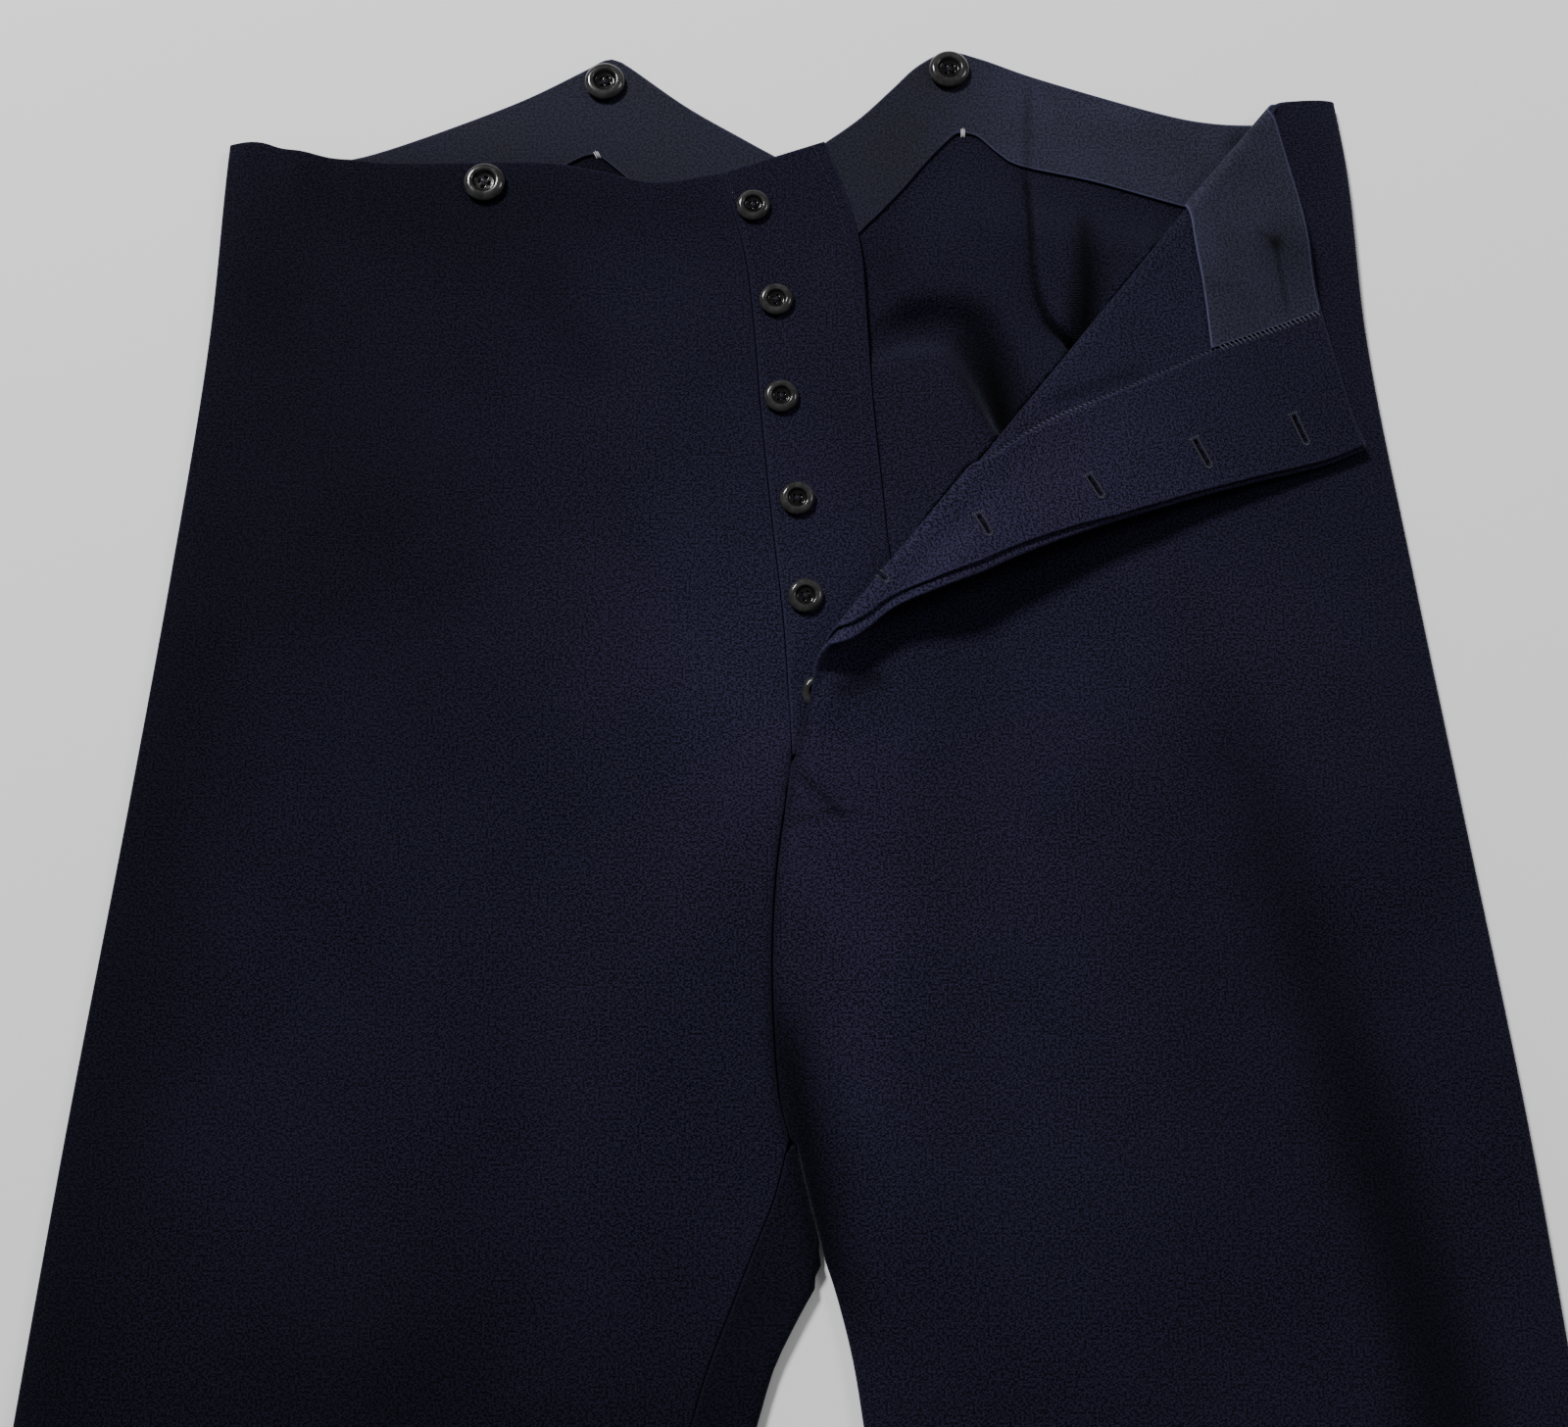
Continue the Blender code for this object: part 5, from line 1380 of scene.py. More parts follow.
def right_front_pattern(sizes):
    """The right front's grid, its inner edge half a gap short of the seam."""
    def inner(y):
        """x of the stand's seam and the leg's inner edge, less half a gap."""
        return inner_x(y, STAND_SEAM + CROTCH_SEAM[1:], 1) - GAP / 2

    return front_pattern(sizes, run(RIGHT_WAIST), inner, RIGHT_WAIST[-1][1], 1, True)


def left_front_pattern(sizes):
    """The left front's grid, with the fly edge above the base of the fly."""
    def inner(y):
        """x of the fly edge, and below it of the seam and the leg's inner edge."""
        seam = inner_x(y, CROTCH_SEAM, 3) + GAP / 2 * (y > CROTCH_Y)
        return np.where(y > FLY_EDGE[0][1], fly_edge_x(y), seam)

    return front_pattern(sizes, run(LEFT_WAIST), inner, LEFT_WAIST[0][1], 2, False)


def left_back_pattern():
    """The left back's grid, closest where it shows in the open fly."""
    u, w = lines(*LEFT_BACK_ACROSS), lines(*LEFT_BACK_DOWN)
    centre = CENTRE_BACK_X + GAP / 2
    inner_y = down_to(CENTRE_BACK_TOP, HEM_INNER_Y, w)
    inner = np.stack([np.where(inner_y > CROTCH_Y, centre, table_x(INNERS, 3, inner_y)), inner_y], -1)
    outer = side_seam(2, down_to(LEFT_BACK_TOP[-1][1], HEM_OUTER_Y, w))
    top = run(((centre, CENTRE_BACK_TOP), *LEFT_BACK_TOP[1:]))
    return to_swell_edge(patch(u, w, inner, outer, along(top, u), straight(inner[-1], outer[-1], u)))


def right_back_pattern():
    """The right back's grid, out to the inseam edge that its roll brings on top."""
    u, w = lines(*RIGHT_BACK_ACROSS), lines(*RIGHT_BACK_DOWN)
    centre = CENTRE_BACK_X - GAP / 2
    crotch = CROTCH_Y - 0.4
    inner_y = down_to(CENTRE_BACK_TOP, HEM_INNER_Y, w)
    fold_x = table_x(INNERS, 2, inner_y) - CLOTH / 2
    inseam = 2 * fold_x - table_x(INNERS, 1, inner_y) - GAP / 2 + (math.pi - 2) * WRAP
    share = smooth_step(0, 1, (crotch - inner_y) / (crotch - WRAP_FROM_Y))
    inner = np.stack([centre + (inseam - centre) * share, inner_y], -1)
    outer = side_seam(1, down_to(RIGHT_BACK_TOP[0][0][1], HEM_OUTER_Y, w))
    top = np.vstack([run(RIGHT_BACK_TOP[0]), run((*RIGHT_BACK_TOP[1][:-1], (centre, CENTRE_BACK_TOP)))[1:]])
    return patch(u, w, outer, inner, along(top, u), straight(outer[-1], inner[-1], u))


def stand_pattern(sizes):
    """The button stand's grid, from its seam across to its free edge."""
    fine = sizes.fine_pitch / MM
    u, w = lines((STAND_WIDTH, fine)), lines((STAND_LENGTH, fine * 1.2))
    left = along(run(STAND_SEAM) + (GAP / 2, 0), w)
    right = along(run(STAND_FREE_EDGE), w)
    return patch(u, w, left, right, straight(left[0], right[0], u), straight(left[-1], right[-1], u))


def strip_pattern(u, w, top, low):
    """A strip between two curves over x, as wide as the lower one: at each x, points from the upper curve
    down to the lower one."""
    x = low[0, 0] + (low[-1, 0] - low[0, 0]) * u
    high, under = graph(top, x), graph(low, x)
    return np.stack([np.broadcast_to(x, (len(w), len(x))), high + (under - high) * w[:, None]], -1)


def left_back_facing_pattern(sizes):
    """The left back facing's grid, a line of it through the peak of its lower edge."""
    fine = sizes.fine_pitch / MM
    u = lines(*((stretch, fine) for stretch in LEFT_FACING_ACROSS))
    w = lines((BACK_FACING_DEPTH, fine))
    return strip_pattern(u, w, run(LEFT_BACK_TOP) - (0, FACING_INSET), runs(LEFT_FACING_LOW))


def right_back_facing_pattern(sizes):
    """The right back facing's grid, lines of it through both its peaks."""
    fine = sizes.fine_pitch / MM
    outer, peaks, inner = RIGHT_FACING_ACROSS
    u, w = lines((outer, fine), (peaks, peaks / 4), (inner, fine)), lines((BACK_FACING_DEPTH, fine))
    return strip_pattern(u, w, runs(RIGHT_BACK_TOP) - (0, FACING_INSET), runs(RIGHT_FACING_LOW))


def front_facing_pattern():
    """The left front facing's grid, from beside the fly facing to the side seam."""
    u, w = lines(FRONT_FACING_ACROSS), lines(FRONT_FACING_DOWN)
    waist = run(LEFT_WAIST)
    side_x = FRONT_FACING_LOW[0][0]
    corner = (FLY_FACING_INNER[0][0] + GAP, FLY_FACING_INNER[0][1])
    top = waist[(waist[:, 0] < side_x - 2) & (waist[:, 0] > corner[0] + 2)] - (0, FACING_INSET)
    side = (side_x, np.interp(side_x, waist[:, 0], waist[:, 1]) - FACING_INSET)
    top = np.vstack([corner, top, side])
    low = run(FRONT_FACING_LOW)[::-1]
    inner, outer = straight(top[0], low[0], w), straight(top[-1], low[-1], w)
    return patch(u, w, inner, outer, along(top, u), along(low, u))


def fly_facing_pattern():
    """The fly facing's grid: ruled from the front edge, inside the fly edge, to the inner edge."""
    u, w = lines(FLY_FACING_ACROSS), lines(FLY_FACING_DOWN)
    inset = np.array(FLY_FACING_INSET)
    y = down_to(FLY_FACING_TOP_Y, FLY_FACING_LOW_Y, w)
    front = np.stack([fly_edge_x(y) + np.interp(y, inset[:, 0], inset[:, 1]), y], -1)
    inner = along(run(FLY_FACING_INNER), w)
    return patch(u, w, front, inner, straight(front[0], inner[0], u), straight(front[-1], inner[-1], u))


def buttonhole_frames():
    """Middle, direction and length of each buttonhole in the flat pattern, its slit along the direction."""
    table = np.array(BUTTONHOLES, float)
    tilt = np.radians(table[:, 3])
    return table[:, :2], np.stack([np.cos(tilt), np.sin(tilt)], -1), table[:, 2]


def slit_depth(flat):
    """How far the fly facing sinks into each slit: 1 on its line, falling to 0 a millimetre away."""
    depth = np.zeros(flat.shape[:-1])
    for middle, direction, length in zip(*buttonhole_frames()):
        half = direction * (length / 2 - SLIT_SHORTER)
        away = distance_to_path(flat, np.array([middle - half, middle + half]))
        depth = np.maximum(depth, 1 - smooth_step(*SLIT_SIDE, away))
    return depth


# Operators: the stage, and the pieces in the order in which they lie


class TROUSERS_OT_stage(bpy.types.Operator):
    """Makes the floor, the lights and the camera at the photograph's angle."""

    bl_idname = "trousers.stage"
    bl_label = "Floor, light and camera"

    def execute(self, context):
        scene, sizes = context.scene, context.scene.trousers_sizes
        half = sizes.floor_width / 2
        corners = np.array([(-half, -half), (half, -half), (half, half), (-half, half)])
        points = np.column_stack([corners / MM, np.full(4, FLOOR_Z)]) - SHIFT
        floor = mesh_piece("floor", points, np.array([[0, 1, 2, 3]]), finish("floor"))
        for name, spot, size, power in LIGHTS:
            data = bpy.data.lights.new(name, "AREA")
            data.shape = "DISK"
            data.size = size
            data.energy = getattr(sizes, power)
            lamp = bpy.data.objects.new(name, data)
            lamp.location = spot
            lamp.rotation_euler = (Vector(LIGHTS_AIM) - Vector(spot)).to_track_quat("-Z", "Y").to_euler()
            scene.collection.objects.link(lamp)
        world = bpy.data.worlds.new("soft_room")
        world.use_nodes = True
        background = world.node_tree.nodes["Background"]
        background.inputs["Color"].default_value = (1, 1, 1, 1)
        background.inputs["Strength"].default_value = sizes.room_light
        scene.world = world
        data = bpy.data.cameras.new("photo_camera")
        data.sensor_width = SENSOR_WIDTH
        data.lens = sizes.lens
        data.clip_start = CLIP_START
        camera = bpy.data.objects.new("photo_camera", data)
        tilt = sizes.camera_elevation
        look = Vector((0, math.cos(tilt), -math.sin(tilt)))
        camera.location = Vector((*(SHIFT[:2] * MM), sizes.aim_height)) - look * sizes.camera_distance
        camera.rotation_euler = look.to_track_quat("-Z", "Y").to_euler()
        scene.collection.objects.link(camera)
        scene.camera = camera
        return {"FINISHED"}


def left_back_shade(flat):
    """Painted light and shade of the left back: painted shade in its hollows, on the dart's seam and beside
    it, each by an exponential of the distance, and painted light on the wall under the roll."""
    shade = np.ones(flat.shape[:-1])
    for dark in (BROAD_HOLLOW_SHADE, NARROW_HOLLOW_SHADE):
        away, facts, _ = nearest_on(flat, dark)
        shade = shade * (1 - facts[..., 1] * np.exp(-((away / facts[..., 0]) ** 2)))
    away, facts, side = nearest_on(flat, DART_HOLLOW)
    shade = shade * (1 - DART_SEAM_SHADE * np.exp(-((away / DART_SEAM_WIDTH) ** 2)))
    wall = 1 - smooth_step(SWELL_EDGE - 0.2, SWELL_EDGE + 1.2, past_roll(flat))
    shade = shade * (1 + WALL_LIGHT * wall * smooth_step(*WALL_LIGHT_Y, flat[..., 1]))
    return shade * (1 - DART_SIDE_SHADE * np.exp(-away / DART_SIDE_REACH) * (side < 0))


class TROUSERS_OT_backs(bpy.types.Operator):
    """Makes both backs: the left with its swells and dart, the right with its roll round the inner leg."""

    bl_idname = "trousers.backs"
    bl_label = "Backs"

    def execute(self, context):
        flat = right_back_pattern()
        laid, _ = lay_right_back(flat)
        tuck = dart_height(laid[..., :2], RIGHT_DART) * (laid[..., 2] < CLOTH)
        # Painted shade on the right back, whose roll shows between the legs
        cloth_piece(
            "right_back", flat, lay_right_back, "wool", over=tuck, shade=RIGHT_BACK_SHADE
        )
        flat = left_back_pattern()
        tuck = dart_height(flat, LEFT_DART)
        shade = left_back_shade(flat)
        cloth_piece("left_back", flat, lay_left_back, "wool", over=tuck, shade=shade)
        return {"FINISHED"}


class TROUSERS_OT_back_facings(bpy.types.Operator):
    """Makes the waist facings of both backs, each a strip with a peaked lower edge."""

    bl_idname = "trousers.back_facings"
    bl_label = "Back facings"

    def execute(self, context):
        sizes = context.scene.trousers_sizes
        for side, pattern in (("right", right_back_facing_pattern), ("left", left_back_facing_pattern)):
            flat = pattern(sizes)
            # Painted shade of the back facing, lighter towards the end of a span of x
            low, more, span = BACK_FACING_SHADES[side]
            shade = low + more * smooth_step(*span, flat[..., 0])
            cloth_piece(
                f"{side}_back_facing", flat, lay_back_facing, "facing", TWILL,
                shade=shade,
            )
        return {"FINISHED"}


class TROUSERS_OT_right_front(bpy.types.Operator):
    """Makes the right front, lying on the right back, with its rippled waist corner."""

    bl_idname = "trousers.right_front"
    bl_label = "Right front"

    def execute(self, context):
        flat = right_front_pattern(context.scene.trousers_sizes)
        cloth_piece("right_front", flat, lay_right_front, "wool")
        return {"FINISHED"}


class TROUSERS_OT_button_stand(bpy.types.Operator):
    """Makes the button stand that carries the fly buttons."""

    bl_idname = "trousers.button_stand"
    bl_label = "Button stand"

    def execute(self, context):
        flat = stand_pattern(context.scene.trousers_sizes)
        cloth_piece("button_stand", flat, lay_stand, "wool", shade=STAND_SHADE)
        return {"FINISHED"}


class TROUSERS_OT_left_front(bpy.types.Operator):
    """Makes the left front, its flap folded open over a rolled diagonal edge."""

    bl_idname = "trousers.left_front"
    bl_label = "Left front"

    def execute(self, context):
        flat = left_front_pattern(context.scene.trousers_sizes)
        start, _, across = fold_frame()
        # Painted light on the left front's flap, from the roll inwards
        shade = 1 + FLAP_LIGHT * smooth_step(*FLAP_LIGHT_FROM, (flat - start) @ across)
        cloth_piece("left_front", flat, lay_left_front, "wool", shade=shade)
        return {"FINISHED"}


def front_facing_shade(x, y):
    """Painted light and shade of the flap's waist facing: paler at its inner end, painted shade in its
    creases, and a dark smudge, wide and faint round a small black middle, where the hidden brace button's
    threads come through."""
    low, more, span = FRONT_FACING_SHADE
    shade = low + more * smooth_step(*span, y)
    for start, end, half_width, amount in FRONT_FACING_CREASES:
        shade = shade * (1 - amount * valley(x, y, start, end, half_width))
    for half_x, half_y, amount in SMUDGES:
        shade = shade * (1 - amount * bell(x, y, SMUDGE_AT, half_x, half_y))
    return shade


def fly_facing_shade(y, slits):
    """Painted light and shade of the fly facing: lighter up the flap and darker again near the waist, painted
    shade in the slits.
    """
    (light, light_y), (dark, dark_y) = FLY_FACING_LIGHT, FLY_FACING_DARK
    shade = FLY_FACING_SHADE + light * smooth_step(*light_y, y) - dark * smooth_step(*dark_y, y)
    return shade * (1 - SLIT_SHADE * slits)


class TROUSERS_OT_front_facings(bpy.types.Operator):
    """Makes the left front's waist facing and its fly facing with the buttonhole slits sunk in."""

    bl_idname = "trousers.front_facings"
    bl_label = "Front facings"

    def execute(self, context):
        under = -(CLOTH / 2 + GAP)
        flat = front_facing_pattern()
        cloth_piece(
            "left_front_facing", flat, lay_left_front, "facing", TWILL,
            offset=under - TWILL / 2, shade=front_facing_shade(flat[..., 0], flat[..., 1]),
        )
        flat = fly_facing_pattern()
        slits = slit_depth(flat)
        shade = fly_facing_shade(flat[..., 1], slits)
        cloth_piece(
            "fly_facing", flat, lay_left_front, "wool", FLY_CLOTH,
            offset=under - FLY_CLOTH / 2, into=-SLIT_DEPTH * slits, shade=shade,
        )
        return {"FINISHED"}


def button_surface(radius, height):
    """A surface of revolution of the profile, with four thread holes sunk in its well: the height falls by a
    smooth pit round each hole's middle."""
    profile = run(BUTTON_PROFILE, 0.035) * (radius, height)
    profile = profile[1:-1]
    turn = np.arange(BUTTON_SEGMENTS) * 2 * math.pi / BUTTON_SEGMENTS
    r, z = profile[:, 0][:, None], profile[:, 1][:, None]
    x, y = r * np.cos(turn), r * np.sin(turn)
    z = np.broadcast_to(z, x.shape).copy()
    upper = (np.arange(len(profile)) < len(profile) * 0.6)[:, None] & (r < 0.5 * radius)
    for hole in HOLE_ANGLES:
        away = np.hypot(x - HOLE_AT * radius * math.cos(hole), y - HOLE_AT * radius * math.sin(hole))
        z = z - upper * HOLE_DEPTH * height * (1 - smooth_step(0.6, 1.25, away / (HOLE_RADIUS * radius)))
    points = np.stack([x, y, z], -1).reshape(-1, 3)
    poles = np.array([(0, 0, profile[0, 1]), (0, 0, profile[-1, 1])])
    rings = len(profile)
    k = np.arange(BUTTON_SEGMENTS)
    m = (k + 1) % BUTTON_SEGMENTS
    row = np.arange(rings - 1)[:, None] * BUTTON_SEGMENTS
    under = row + BUTTON_SEGMENTS
    walls = np.stack([row + k, under + k, under + m, row + m], -1).reshape(-1, 4)
    last = (rings - 1) * BUTTON_SEGMENTS
    pole = np.full(len(k), rings * BUTTON_SEGMENTS)
    tips = np.concatenate([np.stack([pole, k, m], -1), np.stack([pole + 1, last + m, last + k], -1)])
    return np.concatenate([points, poles]), walls, tips


def button_threads(radius, height):
    """Two crossed bundles of thread, two strands each, from hole to opposite hole across the well."""
    at = HOLE_AT * radius * np.stack([np.cos(HOLE_ANGLES), np.sin(HOLE_ANGLES), np.zeros(4)], -1)
    at = at + (0, 0, 0.36 * height)
    start, end = at[[0, 1, 0, 1]], at[[2, 3, 2, 3]]
    beside = np.cross(unit(end - start), (0, 0, 1.0)) * (STRAND_APART * np.array([1, 1, -1, -1]))[:, None]
    up = np.tile((0, 0, 1.0), (4, 1))
    return tubes(start + beside, end + beside, up, STRAND_RADIUS, STRAND_RISE, rings=9)


def turned_to(points, normal):
    """Points turned so that their Z axis lies along normal."""
    matrix = np.array(Vector((0, 0, 1)).rotation_difference(Vector(normal)).to_matrix())
    return points @ matrix.T


def make_button(node, radius, height, spin, normal=(0, 0, 1), back=None):
    """A button on its CAD node's place, the node's middle or back where the node is tilted; its threads are
    given back."""
    low, high = (np.array(corner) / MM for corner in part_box(node))
    if back is None:
        back = np.array([*((low + high) / 2)[:2], low[2]]) - SHIFT
    c, s = math.cos(spin), math.sin(spin)
    spun = np.array([(c, -s, 0), (s, c, 0), (0, 0, 1)])
    points, walls, tips = button_surface(radius, height)
    placed = turned_to(points @ spun.T, normal) + back
    from_middle = np.hypot(points[:, 0], points[:, 1]) / radius
    # Painted shade in the button's well
    shade = 1 - (1 - WELL_SHADE) * (1 - smooth_step(*WELL_EDGE, from_middle)) * (points[:, 2] > 0.2 * height)
    piece = mesh_piece(f"{node}_horn", placed, [walls, tips], finish("button"), shade=shade)
    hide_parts(node)
    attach(piece, "root")
    points, walls, tips = button_threads(radius, height)
    return turned_to(points @ spun.T, normal) + back, walls, tips


class TROUSERS_OT_fly_buttons(bpy.types.Operator):
    """Makes the six fly buttons, each turned a little differently, and the threads that hold them."""

    bl_idname = "trousers.fly_buttons"
    bl_label = "Fly buttons"

    def execute(self, context):
        threads = []
        for number, spin in enumerate(np.radians(FLY_BUTTON_SPINS), 1):
            threads.append(make_button(f"fly_button_{number}", FLY_BUTTON_RADIUS, FLY_BUTTON_HEIGHT, spin))
        thread_piece("fly_button_threads", threads, finish("thread"))
        return {"FINISHED"}


class TROUSERS_OT_brace_buttons(bpy.types.Operator):
    """Makes the four brace buttons at the waist and the threads that hold them."""

    bl_idname = "trousers.brace_buttons"
    bl_label = "Brace buttons"

    def execute(self, context):
        spot = np.array([LEFT_FRONT_BRACE], float)
        face, normal = on_face(lay_left_front, spot, CLOTH / 2 + GAP + LEFT_FRONT_SHANK)
        threads = []
        for side, spin in BRACE_BUTTON_SPINS.items():
            tilted = (normal[0], face[0]) if side == "left_front" else ()
            node = f"{side}_brace_button"
            threads.append(make_button(node, BRACE_BUTTON_RADIUS, BRACE_BUTTON_HEIGHT, spin, *tilted))
        thread_piece("brace_button_threads", threads, finish("thread"))
        return {"FINISHED"}


def overcast_stitches():
    """Whip stitches over the fly facing's inner edge, the pale ones and the faint ones: each slants from the
    fly facing down onto the cloth, or onto the waist facing near the waist."""
    path = run(FLY_FACING_INNER)
    total = lengths_along(path)[-1]
    count = int(total / OVERCAST_PITCH)
    share = (np.arange(count) + 0.5) / count
    wander = OVERCAST_WANDER * np.sin(np.arange(count) * 1.7)
    facing = along(inward(path, OVERCAST_FROM), share) + np.stack([np.zeros(count), wander], -1)
    cloth = along(inward(path, OVERCAST_TO), np.minimum(share + OVERCAST_SLANT / total, 1))
    low = CLOTH / 2
    a, n = on_face(lay_left_front, facing, -(low + GAP + FLY_CLOTH))
    b, _ = on_face(lay_left_front, cloth, -low)
    on_facing = cloth[:, 1] > OVERCAST_ON_FACING
    a, b = a + n * 0.05, b + n * (0.05 + (GAP + TWILL) * on_facing[:, None])
    clear = within(a[:, 0], OVERCAST_CLEAR) | on_facing
    pale = tubes(a[clear], b[clear], n[clear], *OVERCAST_PALE)
    return pale, tubes(a[~clear], b[~clear], n[~clear], *OVERCAST_FAINT)


def buttonhole_stitches():
    """Worked edges: short threads square to each slit down both sides, a bar across the inner end and a fan
    round the outer end."""
    starts, ends = [], []
    short, near, far = HOLE_STITCH_SHORT, *HOLE_STITCH_SIDE
    for middle, direction, length in zip(*buttonhole_frames()):
        side = np.array([-direction[1], direction[0]])
        reach = np.arange(-length / 2 + short[0], length / 2 - short[1], HOLE_STITCH_PITCH)[:, None]
        for sign in (-1, 1):
            starts.append(middle + reach * direction + side * sign * near)
            ends.append(middle + (reach + HOLE_STITCH_SLANT) * direction + side * sign * far)
        bar = np.linspace(-HOLE_BAR, HOLE_BAR, 5)[:, None]
        bar_middle = middle + direction * (length / 2 - 0.3)
        starts.append(bar_middle + bar * side * 0.95 - direction * 0.5)
        ends.append(bar_middle + bar * side * 0.95 + direction * 0.9)
        fan = np.linspace(-HOLE_FAN, HOLE_FAN, 6)[:, None]
        tip = middle - direction * (length / 2 - 0.9)
        spoke = -np.cos(fan) * direction + np.sin(fan) * side
        starts.append(tip + spoke * HOLE_FAN_RADII[0])
        ends.append(tip + spoke * HOLE_FAN_RADII[1])
    offset = -(CLOTH / 2 + GAP + FLY_CLOTH)
    a, n = on_face(lay_left_front, np.vstack(starts), offset)
    b, _ = on_face(lay_left_front, np.vstack(ends), offset)
    return tubes(a + n * 0.04, b + n * 0.02, n, *HOLE_STITCH, rings=4)


def tack_threads():
    """Tacks that hold the peak of each back facing's lower edge, each straight down over it."""
    table = np.array(TACKS)
    spots, to_high, to_low = table[:, :2], table[:, 2:4], table[:, 4:6]
    level = ON_BACK + TWILL
    a = np.column_stack([spots + to_high, np.full(len(table), level)])
    b = np.column_stack([spots + to_low, np.full(len(table), level - TACK_SINK)])
    return tubes(a, b, np.tile((0, 0, 1.0), (len(table), 1)), TACK_RADIUS, TACK_RISE)


class TROUSERS_OT_sewing(bpy.types.Operator):
    """Sews: the whipped facing edge, worked buttonholes, topstitching, the fly base and the waist tacks."""

    bl_idname = "trousers.sewing"
    bl_label = "Sewing"

    def execute(self, context):
        radius = context.scene.trousers_sizes.thread_width / MM / 2
        thread = finish("thread")
        clear, faint = overcast_stitches()
        thread_piece("overcast_thread", [clear], finish("worn"))
        thread_piece("overcast_thread_worn", [faint], finish("dim"))
        thread_piece("buttonhole_thread", [buttonhole_stitches()], finish("dim"))
        edges = (inward(run(STAND_FREE_EDGE), -STAND_EDGE_INSET), inward(run(STAND_SEAM), STAND_SEAM_INSET))
        rows = [stitches(edge, *STAND_STITCH, lay_stand, CLOTH / 2, radius * 0.8) for edge in edges]
        thread_piece("stand_topstitch", rows, thread)
        rows = [stitches(run(FLY_BASE), *FLY_BASE_STITCH, lay_left_front, CLOTH / 2, radius)]
        thread_piece("fly_base_stitch", rows, thread)
        thread_piece("facing_tacks", [tack_threads()], finish("tack"))
        return {"FINISHED"}


class TROUSERS_PT_pieces(bpy.types.Panel):
    """Lists the trousers' sizes, colours and pieces."""

    bl_label = "Uniform Trousers"
    bl_idname = "TROUSERS_PT_pieces"
    bl_space_type = "VIEW_3D"
    bl_region_type = "UI"
    bl_category = "Trousers"

    def draw(self, context):
        """One row for each size and colour, and one button for each operator."""
        for group in (context.scene.trousers_sizes, context.scene.trousers_colours):
            for key in group.__annotations__:
                self.layout.prop(group, key)
        for operator in OPERATORS:
            self.layout.operator(operator.bl_idname)


class TrousersSizes(bpy.types.PropertyGroup):
    """Sizes of the grids, the thread, the stage and the camera."""

    cloth_pitch: FloatProperty(
        name="Cloth pitch", description="Grid pitch of the fronts above", default=0.0025, unit="LENGTH"
    )
    leg_pitch: FloatProperty(
        name="Leg pitch", description="Grid pitch of the fronts down the legs", default=0.006, unit="LENGTH"
    )
    fine_pitch: FloatProperty(
        name="Fine pitch", description="Grid pitch of stand and back facings", default=0.0015, unit="LENGTH"
    )
    thread_width: FloatProperty(
        name="Thread width", description="Diameter of the sewing thread", default=0.0005, unit="LENGTH"
    )
    floor_width: FloatProperty(
        name="Floor width", description="Width of the pale floor", default=14.0, unit="LENGTH"
    )
    camera_elevation: FloatProperty(
        name="Camera angle", description="Angle above the floor", default=math.radians(77), subtype="ANGLE"
    )
    camera_distance: FloatProperty(
        name="Camera distance", description="From the camera to where it aims", default=0.607, unit="LENGTH"
    )
    aim_height: FloatProperty(
        name="Aim height", description="Height of the point the camera aims at", default=0.004, unit="LENGTH"
    )
    lens: FloatProperty(name="Lens", description="Focal length in mm on a 36 mm sensor", default=38.25)
    key_power: FloatProperty(
        name="Key light", description="Power of the soft key light", default=112.0, unit="POWER"
    )
    fill_power: FloatProperty(
        name="Fill light", description="Power of the side fill light", default=14.0, unit="POWER"
    )
    room_light: FloatProperty(name="Room light", description="Strength of the even room light", default=0.2)


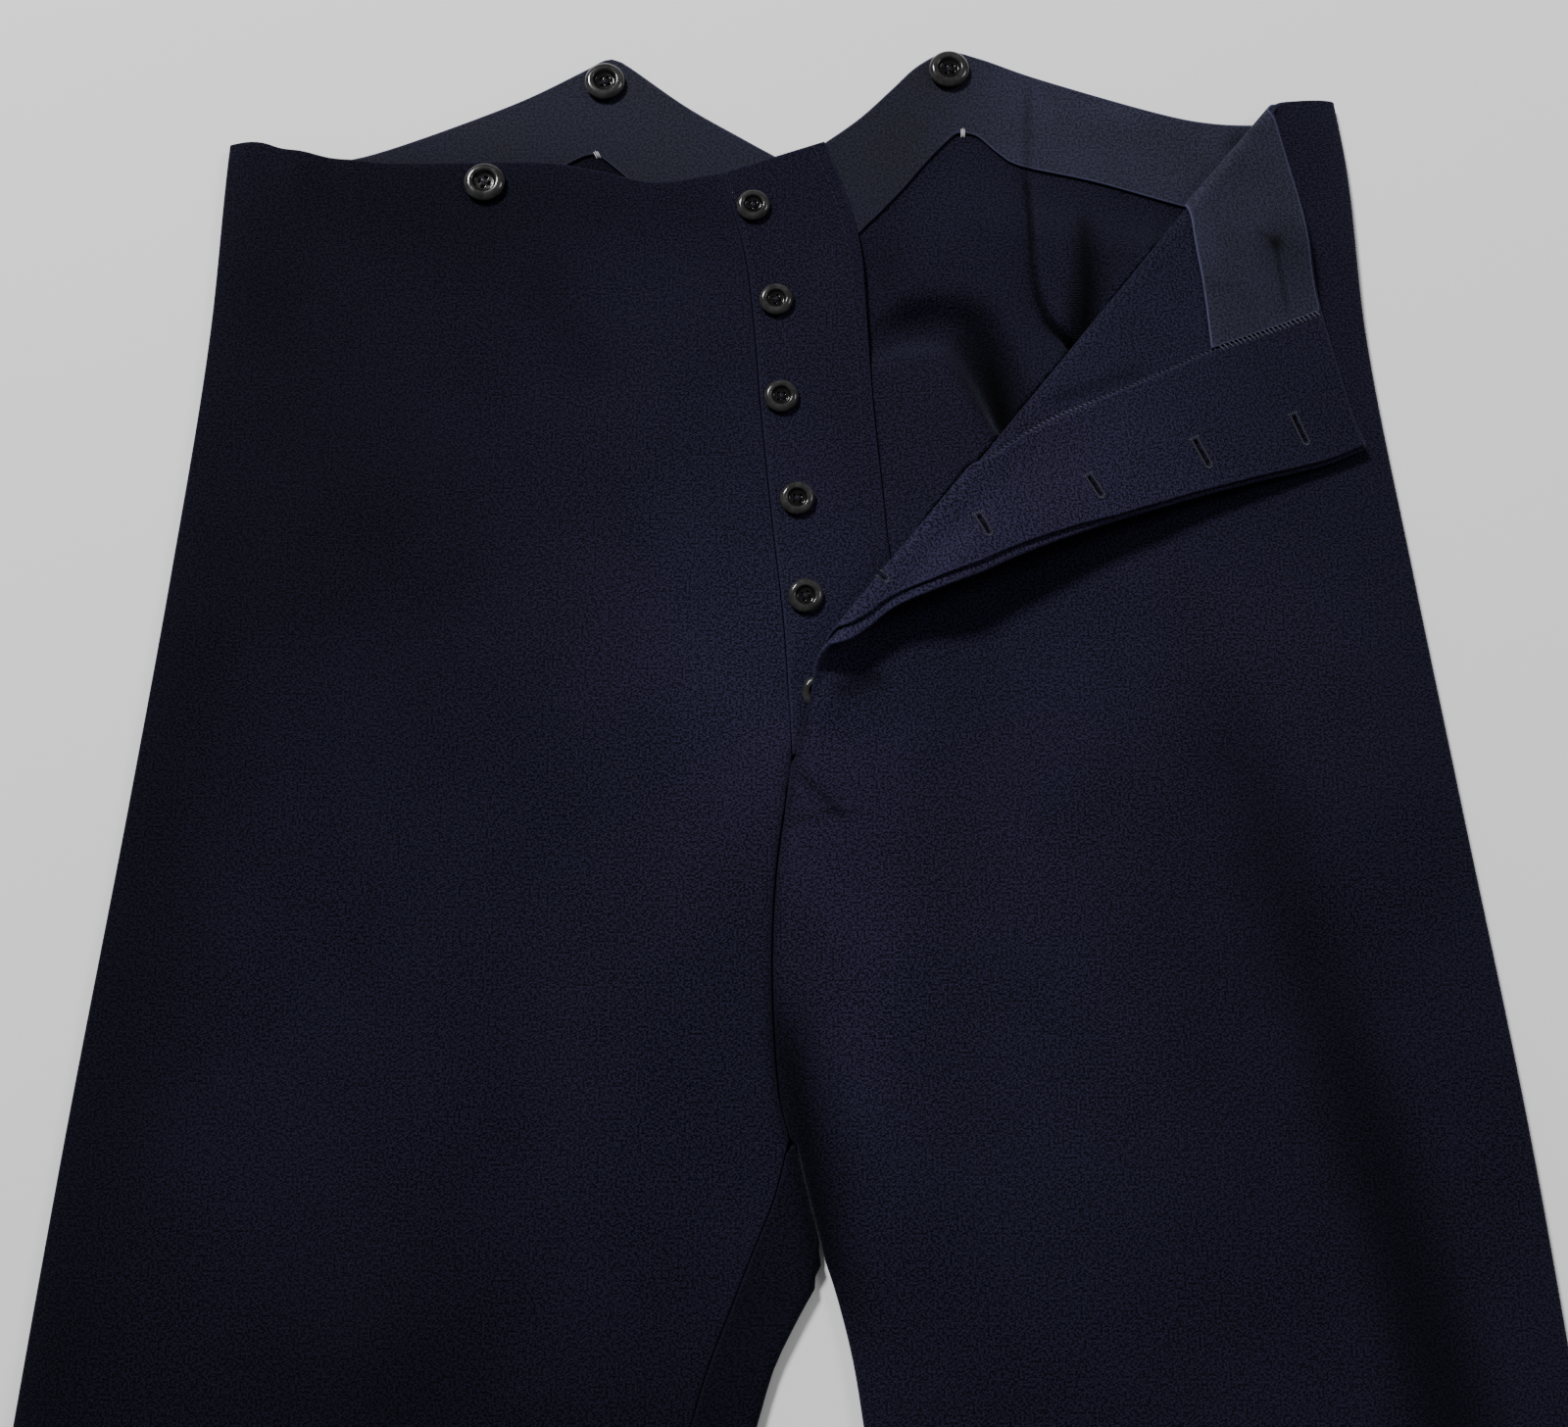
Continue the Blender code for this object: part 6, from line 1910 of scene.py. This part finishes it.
class TrousersColours(bpy.types.PropertyGroup):
    """Colours of the cloths, the buttons, the threads and the floor."""

    wool: FloatVectorProperty(
        name="Wool", description="Navy wool of the panels", default=(0.0061, 0.0055, 0.0131), subtype="COLOR"
    )
    facing: FloatVectorProperty(
        name="Facing", description="Twill of the facings", default=(0.0172, 0.0176, 0.0330), subtype="COLOR"
    )
    button: FloatVectorProperty(
        name="Buttons", description="Black button stock", default=(0.0215, 0.0212, 0.0218), subtype="COLOR"
    )
    thread: FloatVectorProperty(
        name="Thread", description="Navy sewing thread", default=(0.009, 0.0095, 0.018), subtype="COLOR"
    )
    worn_thread: FloatVectorProperty(
        name="Worn thread", description="Pale whip stitches", default=(0.085, 0.088, 0.115), subtype="COLOR"
    )
    dim_thread: FloatVectorProperty(
        name="Dim thread", description="Buttonhole stitches", default=(0.060, 0.062, 0.080), subtype="COLOR"
    )
    tack: FloatVectorProperty(
        name="Tack thread", description="Pale tacking thread", default=(0.55, 0.55, 0.58), subtype="COLOR"
    )
    floor: FloatVectorProperty(
        name="Floor", description="Pale floor", default=(0.86, 0.86, 0.87), subtype="COLOR"
    )


OPERATORS = (
    TROUSERS_OT_stage,
    TROUSERS_OT_backs,
    TROUSERS_OT_back_facings,
    TROUSERS_OT_right_front,
    TROUSERS_OT_button_stand,
    TROUSERS_OT_left_front,
    TROUSERS_OT_front_facings,
    TROUSERS_OT_fly_buttons,
    TROUSERS_OT_brace_buttons,
    TROUSERS_OT_sewing,
)
CLASSES = (TrousersSizes, TrousersColours, *OPERATORS, TROUSERS_PT_pieces)


def register():
    """Registers the classes and gives the scene its sizes and colours."""
    for each in CLASSES:
        bpy.utils.register_class(each)
    bpy.types.Scene.trousers_sizes = PointerProperty(type=TrousersSizes)
    bpy.types.Scene.trousers_colours = PointerProperty(type=TrousersColours)


def unregister():
    """Takes away what register adds."""
    del bpy.types.Scene.trousers_sizes
    del bpy.types.Scene.trousers_colours
    for each in reversed(CLASSES):
        bpy.utils.unregister_class(each)


def main():
    """Registers the classes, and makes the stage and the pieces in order."""
    register()
    for operator in OPERATORS:
        group, name = operator.bl_idname.split(".")
        getattr(getattr(bpy.ops, group), name)()


if __name__ == "__main__":
    main()
